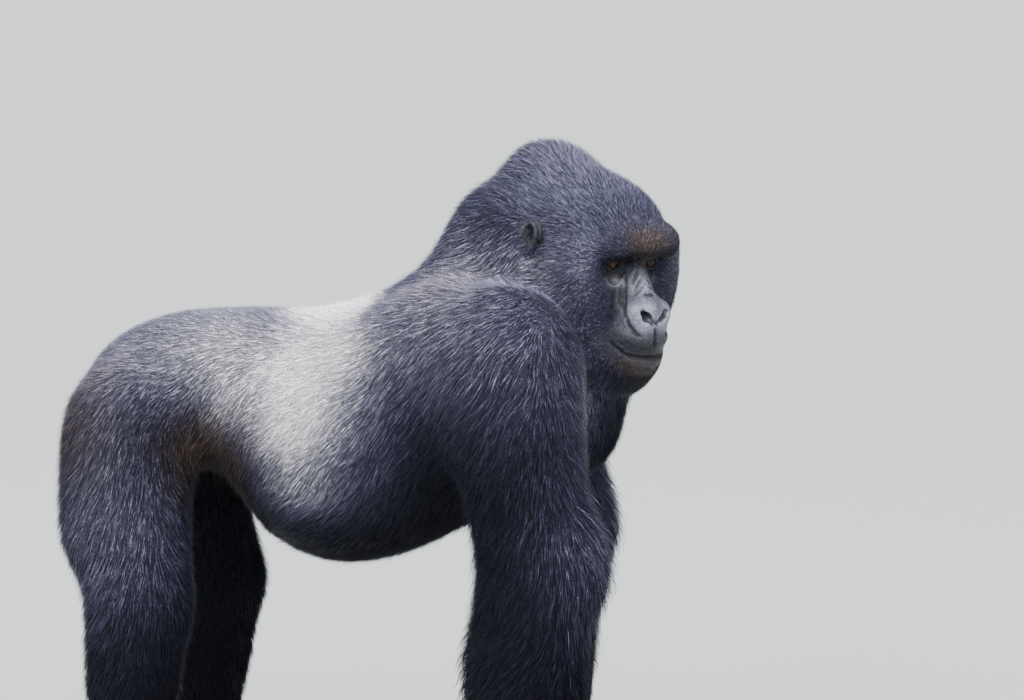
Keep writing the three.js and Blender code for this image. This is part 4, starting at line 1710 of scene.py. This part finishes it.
@dataclass(frozen=True)
class Region:
    """One piece of the coat: what grows nearest to a line inside the flesh.

    Args:
        name: its name.
        slot: not used.
        start: one end of the line.
        end: the other end.
        girth: how thick the flesh is round the line.
        place: the frame that the line stands in.
    """

    name: str
    slot: str
    start: Point
    end: Point
    girth: float
    place: Place = BODY

    def capsule(self, points: Array) -> tuple[Array, Array, Array]:
        """Points relative to the line: along it, held to its ends, and how far off it.

        Args:
            points: spots in the body's frame.

        Returns:
            Each one of the three, one row for each point.
        """
        start, end = self.place.out(np.array([self.start, self.end]))
        axis = unit(end - start)
        along = (points - start) @ axis
        held = np.clip(along, 0, np.linalg.norm(end - start))
        return along, held, points - start - held[:, None] * axis

    def distance(self, points: Array) -> Array:
        """How far points are from the line, in shares of the girth."""
        return np.linalg.norm(self.capsule(points)[2], axis=1) / self.girth

    def unwrap(self, points: Array) -> Array:
        """Each point's place on the skin rolled flat round the line, ends and all, between 0 and 1.

        Args:
            points: spots in the body's frame.

        Returns:
            Two numbers for each.
        """
        start, end = self.place.out(np.array([self.start, self.end]))
        axis = unit(end - start)
        side = unit(np.cross(axis, np.array([0.31, 0.85, 0.43])))
        along, held, off = self.capsule(points)
        across = off - (off @ axis)[:, None] * axis
        turn = np.arctan2(across @ np.cross(axis, side), across @ side) / (2 * math.pi) + 0.5
        tilt = np.arctan2(along - held, np.linalg.norm(across, axis=1))
        rolled = held + self.girth * tilt
        low, high = rolled.min() - 1, rolled.max() + 1
        return 0.01 + 0.98 * np.stack([turn, (rolled - low) / (high - low)], 1)


def pair(
    name: str,
    slot: str,
    start: Point,
    end: Point,
    girth: float,
    place: Place = BODY,
    steps: tuple[float, float] = (0, 0),
) -> tuple[Region, Region]:
    """The same piece of the coat on the right and on the left.

    Args:
        name: their name without the side.
        slot: passed on to both regions.
        start: one end of the left one's line, before its step.
        end: the other end.
        girth: how thick the flesh is round the line.
        place: the frame that the lines stand in.
        steps: how far each end of the left one is moved along x.

    Returns:
        The right one and the left one.
    """
    ends = []
    for (x, y, z), step in ((start, steps[0]), (end, steps[1])):
        ends.append(((x, -y, z), (x + step, y, z)))
    right, left = zip(*ends)
    return (
        Region(f"{name}_right", slot, *right, girth, place),
        Region(f"{name}_left", slot, *left, girth, place),
    )


REGIONS = (
    *pair("rump", "coat_grey", (-400, 70, 690), (-330, 70, 780), 110),
    *pair("loin", "coat_grey", (-220, 80, 740), (-160, 80, 760), 115),
    *pair("saddle", "coat_silver", (-60, 90, 760), (60, 90, 790), 115),
    *pair("belly", "coat_black", (-70, 110, 590), (130, 110, 580), 120),
    *pair("shoulder", "coat_black", (200, 150, 820), (290, 210, 790), 110),
    Region("breast", "coat_black", (330, 0, 640), (400, -20, 780), 110),
    Region("neck", "coat_black", (240, 0, 900), (330, -10, 900), 110),
    Region("crown", "coat_black", (-80, 0, 100), (80, 0, 90), 62, HEAD),
    *pair("cheek", "coat_black", (20, 60, -40), (90, 50, -60), 66, HEAD),
    *pair("arm", "coat_black", (330, 255, 640), (350, 268, 470), 95, steps=(-24, -48)),
    *pair("forearm", "coat_black", (345, 265, 330), (352, 262, 100), 85, steps=(-48, -48)),
    *pair("leg", "coat_black", (-350, 135, 560), (-335, 165, 60), 90, steps=(38, 45)),
)


@dataclass(frozen=True)
class Tuft:
    """A kind of tuft: a closed spike with a flat three-cornered waist.

    Args:
        faces: its faces; the last vertex is the tip and the three before it are the waist.
        along: how far along the tuft each vertex is, from 0 at the root to 1.
        patch: each vertex's place in the tuft's patch on the unwrap.
        waist: how far along the tuft its waist is.
    """

    faces: tuple[tuple[int, int, int], ...]
    along: tuple[float, ...]
    patch: tuple[tuple[float, float], ...]
    waist: float

    @property
    def size(self) -> int:
        """How many vertices it has."""
        return len(self.along)


SHORT_TUFT = Tuft(
    ((0, 2, 1), (3, 0, 1), (3, 1, 2), (3, 2, 0)),
    (0.0, 0.0, 0.0, 1.0),
    ((-1, -1), (-1, 1), (-0.4, 0), (1, 0)),
    0.0,
)
LONG_TUFT = Tuft(
    ((0, 2, 1), (0, 3, 2), (0, 1, 3), (4, 1, 2), (4, 2, 3), (4, 3, 1)),
    (0.0, 0.42, 0.42, 0.42, 1.0),
    ((-1, 0), (0, -1), (0, 1), (0.4, 0), (1, 0)),
    0.42,
)
TUFT_THICKNESS = 0.34  # the ridge's height, beside the tuft's width
TUFT_ROOT_DEPTH = 0.6  # how deep the root sits in the skin
MIDDLE_ALONG, TIP_ALONG = 0.48, 0.97  # how far along the hair's length the middle and the tip lie
MIDDLE_HEIGHT = 0.62  # the middle's height in the coat, beside the tip's


@dataclass
class Roots:
    """Where tufts grow, one row for each.

    Args:
        spots: the roots on the skin.
        normals: the way out of the skin.
        lie: the coat there.
        values: the markings there.
        chance: a random number for each.
    """

    spots: Array
    normals: Array
    lie: Lie
    values: dict[str, Array]
    chance: Array


@dataclass
class Paths:
    """The path of each tuft, one row for each.

    Args:
        middle: where a long tuft is widest.
        tip: its tip.
        way: its direction along the skin.
        width: how wide it is.
        short: whether it is of the short kind.
    """

    middle: Array
    tip: Array
    way: Array
    width: Array
    short: Array


@dataclass
class Coat:
    """The tufts.

    Args:
        hide: the skin.
        skin: its finished mesh.
        tufts: how many tufts there are.
        slim: how wide the tufts are beside their comb's width.
        short_to: up to this length a tuft is of the short kind.
        seed: where the random draws start.
        patch: half the size of a tuft's patch on the unwrap.
        strays: the share of the longer tufts that stand off the rest.
        stray_from: the shortest hair that may do so.
        stray_growth: how much longer a stray tuft is.
    """

    hide: Hide
    skin: bpy.types.Object
    tufts: int = 366000
    slim: float = 0.55
    short_to: float = 48.0
    seed: int = 7
    patch: float = 0.0015
    strays: float = 0.12
    stray_from: float = 14.0
    stray_growth: float = 1.35

    def sample(self) -> tuple[Array, Array]:
        """Roots spread over the skin, closer where the tufts are smaller, and their normals."""
        rng = np.random.default_rng(self.seed)
        mesh = self.skin.data
        mesh.calc_loop_triangles()
        corners = np.zeros(len(mesh.loop_triangles) * 3, np.int32)
        mesh.loop_triangles.foreach_get("vertices", corners)
        corners = corners.reshape(-1, 3)
        points = vertex_points(mesh) / METRES - self.hide.origin.shift
        normals = np.zeros(len(mesh.vertices) * 3, np.float32)
        mesh.vertices.foreach_get("normal", normals)
        normals = normals.reshape(-1, 3)

        a, b, c = (points[corners[:, i]] for i in range(3))
        area = np.linalg.norm(np.cross(b - a, c - a), axis=1) / 2
        lie = self.hide.grooming.at((a + b + c) / 3)
        cover = smooth_step(lie.cover, 0.18, 0.75)
        want = area * cover / (np.maximum(lie.length, 4.0) * lie.width) ** 0.9
        running = np.cumsum(want)
        steps = (np.arange(self.tufts) + rng.random(self.tufts)) / self.tufts * running[-1]
        pick = np.minimum(np.searchsorted(running, steps), len(corners) - 1)
        u, v = np.sqrt(rng.random(self.tufts)), rng.random(self.tufts)
        weights = np.stack([1 - u, u * (1 - v), u * v], 1)[:, :, None]
        spots = (points[corners[pick]] * weights).sum(1)
        ways = unit((normals[corners[pick]] * weights).sum(1))
        return spots, ways

    def roots(self) -> Roots:
        """All roots with the coat's values there."""
        spots, normals = self.sample()
        rng = np.random.default_rng(self.seed + 1)
        values = self.hide.markings.at(spots)
        return Roots(spots, normals, self.hide.grooming.at(spots), values, rng.random(len(spots)))

    def waves(self, spots: Array) -> Array:
        """A slow, smooth wander of the lie, so that neighbours bend together into locks.

        Args:
            spots: the roots.

        Returns:
            What to add to the lie at each.
        """
        wander = np.zeros_like(spots)
        for index, length in enumerate((95.0, 47.0, 21.0)):
            turn = turned((31.0 * index, 57.0 * index, 17.0 * index))
            phase = spots @ turn * (2 * math.pi / length)
            wander += np.sin(phase[:, [1, 2, 0]] + np.cos(phase[:, [2, 0, 1]]) * 1.7) * (0.11 - 0.02 * index)
        return wander

    def paths(self, roots: Roots) -> Paths:
        """Lays each tuft along the skin, with its tip at its own height in the coat.

        Args:
            roots: where the tufts grow.

        Returns:
            Their paths.
        """
        rng = np.random.default_rng(self.seed + 2)
        count = len(roots.spots)
        normals = roots.normals
        way = unit(roots.lie.way) + self.waves(roots.spots) + rng.normal(0, 0.07, (count, 3))
        way = unit(way - (way * normals).sum(1, keepdims=True) * normals)
        length = roots.lie.length * rng.uniform(0.55, 1.15, count)
        height = roots.lie.depth * rng.uniform(0.3, 1.0, count) ** 0.5
        stray = (rng.random(count) < self.strays) & (roots.lie.length > self.stray_from)
        height = height + np.where(stray, rng.uniform(0.08, 0.30, count) * roots.lie.length, 0)
        length = np.where(stray, length * self.stray_growth, length)
        width = roots.lie.width * self.slim * rng.uniform(0.75, 1.25, count)

        middle = roots.spots + way * (length * MIDDLE_ALONG)[:, None] + normals * (height * 0.5)[:, None]
        tip = roots.spots + way * (length * TIP_ALONG)[:, None] + normals * height[:, None]
        outer, depth = self.hide.outer, roots.lie.depth
        for _ in range(2):
            middle -= normals * np.clip(outer.at(middle) + depth - height * MIDDLE_HEIGHT, -12, 12)[:, None]
            tip -= normals * np.clip(outer.at(tip) + depth - height, -25, 25)[:, None]
        return Paths(middle, tip, way, width, length < self.short_to)

    def build(self) -> list[bpy.types.Object]:
        """All pieces of the coat."""
        roots = self.roots()
        paths = self.paths(roots)
        owner = np.argmin([region.distance(roots.spots) for region in REGIONS], axis=0)
        return [self.piece(region, roots, paths, owner == number) for number, region in enumerate(REGIONS)]

    def piece(self, region: Region, roots: Roots, paths: Paths, own: Array) -> bpy.types.Object:
        """One piece of the coat, as one mesh.

        Args:
            region: the piece's region.
            roots: all roots.
            paths: the paths of all tufts.
            own: which of them belong to the piece.

        Returns:
            The piece, with its values and its unwrap.
        """
        points, faces, along, patches, owners = [], [], [], [], []
        start = 0
        for kind, chosen in ((SHORT_TUFT, own & paths.short), (LONG_TUFT, own & ~paths.short)):
            pick = np.flatnonzero(chosen)
            normals = roots.normals[pick]
            across = unit(np.cross(normals, paths.way[pick])) * (paths.width[pick] / 2)[:, None]
            ridge = normals * (paths.width[pick] * TUFT_THICKNESS)[:, None]
            root = roots.spots[pick] - normals * TUFT_ROOT_DEPTH
            waist = paths.middle[pick] if kind.waist else root
            rows = [waist - across, waist + across, waist + ridge, paths.tip[pick]]
            rows = [root, *rows] if kind.waist else rows
            points.append(np.stack(rows, 1).reshape(-1, 3))
            first = start + kind.size * np.arange(len(pick))[:, None, None]
            faces.append((np.array(kind.faces)[None] + first).reshape(-1, 3))
            along.append(np.tile(kind.along, len(pick)))
            patches.append(np.tile(kind.patch, (len(pick), 1)))
            owners.append(np.repeat(pick, kind.size))
            start += kind.size * len(pick)
        corners = np.concatenate(faces)
        owner = np.concatenate(owners)
        place = self.hide.origin.metres(np.concatenate(points))
        piece = new_mesh(f"coat_{region.name}", place, corners)
        put_values(piece, "along", np.concatenate(along))
        put_values(piece, "chance", roots.chance[owner])
        for name, values in roots.values.items():
            put_values(piece, name, values[owner])
        unwrap = piece.data.uv_layers.new(name="OFBake")
        flat = region.unwrap(roots.spots[owner]) + np.concatenate(patches) * self.patch
        unwrap.data.foreach_set("uv", flat[corners.ravel()].astype(np.float32).ravel())
        return piece


# -------------------------------------------------------------- eyes and nails


@dataclass
class Eye:
    """An eyeball with the cornea's bulge.

    Args:
        name: the side that it is on.
        face: the head's landmarks.
        origin: where the body's frame stands.
        gaze: the way it looks, in the head's frame.
        cornea: how far the cornea stands out.
        cornea_share: where the bulge ends, in quarter turns from its middle.
        rings: how many faces there are round the ball.
    """

    name: str
    face: Face
    origin: Origin
    gaze: Point = (1.0, -0.02, 0.0)
    cornea: float = 1.3
    cornea_share: float = 0.42
    rings: int = 48

    def build(self) -> bpy.types.Object:
        """The eyeball, with each vertex's angle from the way it looks."""
        turns = np.linspace(0, 2 * math.pi, self.rings, endpoint=False)
        tilts = np.linspace(0, math.pi, self.rings // 2 + 1)[1:-1]
        ahead = unit(np.array(self.gaze))
        side = unit(np.cross(np.array([0, 0, 1.0]), ahead))
        up = np.cross(ahead, side)
        share = np.concatenate([[0.0], np.repeat(tilts, self.rings), [math.pi]]) / (math.pi / 2)
        turn = np.concatenate([[0.0], np.tile(turns, len(tilts)), [0.0]])
        tilt = share * math.pi / 2
        bulge = self.cornea * smooth_step(share, self.cornea_share, 0.0)
        radius = (self.face.eye_radius + bulge)[:, None]
        ways = (
            np.cos(tilt)[:, None] * ahead
            + (np.sin(tilt) * np.cos(turn))[:, None] * side
            + (np.sin(tilt) * np.sin(turn))[:, None] * up
        )
        x, y, z = self.face.eye
        points = HEAD.out(np.array([x, SIDES[self.name] * y, z]) + ways * radius)
        piece = small_mesh(f"eyeball_{self.name}", self.origin.metres(points), self.faces(len(tilts)))
        put_values(piece, "gaze", np.clip(share / 2, 0, 1))
        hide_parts(f"eye_{self.name}")
        return piece

    def faces(self, rows: int) -> list[tuple[int, ...]]:
        """The faces of a ball of rows of vertices between two poles.

        Args:
            rows: how many rows there are.

        Returns:
            The corners of each face.
        """
        count = self.rings
        last = rows * count + 1
        faces: list[tuple[int, ...]] = []
        for i in range(count):
            j = (i + 1) % count
            faces.append((0, 1 + i, 1 + j))
            faces.append((last, last - count + j, last - count + i))
            for row in range(rows - 1):
                a = 1 + row * count
                b = a + count
                faces.append((a + i, b + i, b + j, a + j))
        return faces


@dataclass
class Nails:
    """The toenails of one side, curved plates on the tips of the toes.

    Args:
        name: the side.
        limbs: the joints and toes.
        origin: where the body's frame stands.
        steps: how many vertices a nail has along each side.
        thickness: how thick a nail is.
    """

    name: str
    limbs: Limbs
    origin: Origin
    steps: int = 8
    thickness: float = 1.3

    def plate(
        self, at: Point, ahead: Point, length: float, width: float
    ) -> tuple[Array, list[tuple[int, ...]]]:
        """One nail.

        Args:
            at: the middle of its root.
            ahead: the way that it grows.
            length: its length.
            width: its width.

        Returns:
            Its vertices and faces.
        """
        forward = unit(np.array(ahead))
        side = unit(np.cross(np.array([0, 0, 1.0]), forward))
        up = np.cross(forward, side)
        along, across = np.meshgrid(
            np.linspace(0, 1, self.steps), np.linspace(-1, 1, self.steps), indexing="ij"
        )
        taper = np.sqrt(np.clip(1 - (along * 0.86) ** 4, 0, 1))
        arch = (1 - across**2) * width * 0.34 - along**2 * length * 0.22
        layers = []
        for drop in (0.0, self.thickness):
            spots = (
                np.array(at)
                + along[..., None] * length * forward
                + (across * taper)[..., None] * width / 2 * side
                + (arch - drop)[..., None] * up
            )
            layers.append(spots.reshape(-1, 3))
        count = self.steps
        size = count * count
        faces: list[tuple[int, ...]] = []
        for i in range(count - 1):
            for j in range(count - 1):
                a = i * count + j
                faces.append((a, a + count, a + count + 1, a + 1))
                faces.append(tuple(size + c for c in (a, a + 1, a + count + 1, a + count)))
        edge = [i * count for i in range(count)]
        edge += [(count - 1) * count + j for j in range(1, count)]
        edge += [i * count + count - 1 for i in range(count - 2, -1, -1)]
        edge += list(range(count - 2, 0, -1))
        for a, b in zip(edge, edge[1:] + edge[:1]):
            faces.append((b, a, size + a, size + b))
        return np.concatenate(layers), faces

    def build(self) -> bpy.types.Object:
        """All nails of the side as one piece."""
        side, limbs = SIDES[self.name], self.limbs
        step = limbs.leg_step[self.name] * limbs.foot_share
        plates = []
        for toe in limbs.toes():
            x, y = toe.tip
            spot = (x - 5 + step, side * y, 17.5)
            plates.append(self.plate(spot, (1.0, 0.0, -0.45), 15, 15))
        big_toe = (-196 + step, side * 97, 38)
        plates.append(self.plate(big_toe, (1.0, 0.0, -0.5), 20, 23))
        points, faces, start = [], [], 0
        for spots, corners in plates:
            points.append(spots)
            faces += [tuple(start + c for c in face) for face in corners]
            start += len(spots)
        return small_mesh(f"nails_{self.name}", self.origin.metres(np.concatenate(points)), faces)


# ------------------------------------------------------------------ the studio


@dataclass(frozen=True)
class Lamp:
    """A soft square light.

    Args:
        name: its name.
        at: where it hangs, in metres.
        size: its side in metres.
        power: its power in watts.
        colour: its colour.
    """

    name: str
    at: Point
    size: float
    power: float
    colour: Point = (1.0, 1.0, 1.0)


LAMP_AIM = (0.0, 0.0, 0.7)  # the middle of the animal, in metres
LAMPS = (
    Lamp("front", (2.6, -4.2, 3.4), 2.2, 65, (1.0, 0.99, 0.97)),
    Lamp("back", (-1.5, 3.8, 3.6), 2.4, 40, (0.95, 0.97, 1.0)),
    Lamp("spark", (-0.75, -4.3, 3.95), 0.50, 75, (1.0, 1.0, 1.0)),
)


@dataclass
class Studio:
    """Pale floor, soft light and the camera.

    Args:
        origin: where the body's frame stands.
    """

    origin: Origin
    aim: Point = (270.0, 0.0, 811.0)
    azimuth: float = 8.0
    elevation: float = 5.0
    distance: float = 7000.0
    lens: float = 149.13
    floor_half: float = 400.0
    floor_tone: tuple[float, ...] = (0.30, 0.31, 0.305, 1)
    backdrop: tuple[float, ...] = (0.72, 0.74, 0.75, 1)
    glow: tuple[float, ...] = (0.060, 0.065, 0.085, 1)
    ceiling_strength: float = 15.6
    ceiling_spread: float = 105.0
    ceiling_colour: Point = (0.97, 0.98, 1.0)
    ceiling_turn: Point = (27.0, -7.0, 0.0)

    def build(self) -> None:
        """Makes the floor, the lamps, the world and the camera."""
        self.floor()
        self.lights()
        self.camera()

    def floor(self) -> None:
        """A plain pale floor."""
        half = self.floor_half
        mesh = bpy.data.meshes.new("floor")
        corners = [(-half, -half, 0), (half, -half, 0), (half, half, 0), (-half, half, 0)]
        mesh.from_pydata(corners, [], [(0, 1, 2, 3)])
        floor = new_object("floor", mesh)
        material, _, surface_node = new_material("floor_paint")
        socket_value(surface_node, "Base Color", self.floor_tone)
        socket_value(surface_node, "Roughness", 0.85)
        mesh.materials.append(material)

    def lights(self) -> None:
        """The lamps and the even light round the animal."""
        for lamp in LAMPS:
            light = bpy.data.lights.new(f"light_{lamp.name}", "AREA")
            light.energy = lamp.power
            light.size = lamp.size
            light.color = lamp.colour
            holder = new_object(light.name, light)
            holder.location = lamp.at
            towards = Vector(LAMP_AIM) - Vector(lamp.at)
            holder.rotation_euler = towards.to_track_quat("-Z", "Y").to_euler()
        ceiling = bpy.data.lights.new("light_ceiling", "SUN")
        ceiling.energy = self.ceiling_strength
        ceiling.angle = math.radians(self.ceiling_spread)
        ceiling.color = self.ceiling_colour
        holder = new_object(ceiling.name, ceiling)
        holder.rotation_euler = [math.radians(angle) for angle in self.ceiling_turn]
        self.world()

    def world(self) -> None:
        """A pale backdrop that throws only a faint light of its own."""
        world = bpy.data.worlds.new("studio")
        world.use_nodes = True
        shader = Shader(world.node_tree)
        background = world.node_tree.nodes["Background"]
        seen = shader.node("ShaderNodeLightPath").outputs["Is Camera Ray"]
        shader.join(shader.mix(seen, self.glow, self.backdrop), background.inputs["Color"])
        bpy.context.scene.world = world

    def camera(self) -> None:
        """The camera, to the animal's right and a little above its back."""
        turn, rise = math.radians(self.azimuth), math.radians(self.elevation)
        back = Vector(
            (math.sin(turn) * math.cos(rise), -math.cos(turn) * math.cos(rise), math.sin(rise))
        )
        aim = Vector(self.origin.metres(np.array(self.aim)).tolist())
        lens = bpy.data.cameras.new("camera")
        lens.lens = self.lens
        lens.sensor_width = 36.0
        lens.sensor_fit = "HORIZONTAL"
        camera = new_object("camera", lens)
        camera.location = aim + back * self.distance * METRES
        camera.rotation_euler = (-back).to_track_quat("-Z", "Y").to_euler()
        bpy.context.scene.camera = camera


# ------------------------------------------------------------------------ main


def flesh_nodes() -> list[str]:
    """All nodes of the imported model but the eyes."""
    return [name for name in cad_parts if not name.startswith("eye_")]


def main() -> None:
    """Builds the animal piece by piece and then the studio."""
    logging.basicConfig(level=logging.INFO, format="%(message)s")
    anatomy = Anatomy()
    origin = Origin.from_eye(anatomy.face)
    log.info("body frame stands at %s mm", np.round(origin.shift, 3).tolist())
    Studio(origin).build()

    hide = Hide(anatomy, Grooming(anatomy.limbs), Markings(), origin)
    skin = hide.build()
    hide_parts(*flesh_nodes())
    dress(skin, SkinFinish().material())
    log.info("skin: %d faces", len(skin.data.polygons))

    hair = HairFinish().material()
    total = 0
    for piece in Coat(hide, skin).build():
        dress(piece, hair)
        total += len(piece.data.polygons)
        log.info("%s: %d triangles", piece.name, len(piece.data.polygons))
    log.info("coat: %d triangles", total)

    wet, horn = EyeFinish().material(), NailFinish().material()
    for name in SIDES:
        eye = Eye(name, anatomy.face, origin).build()
        dress(eye, wet)
        nails = Nails(name, anatomy.limbs, origin).build()
        dress(nails, horn)
        log.info("%s and %s made", eye.name, nails.name)


if __name__ == "__main__":
    main()
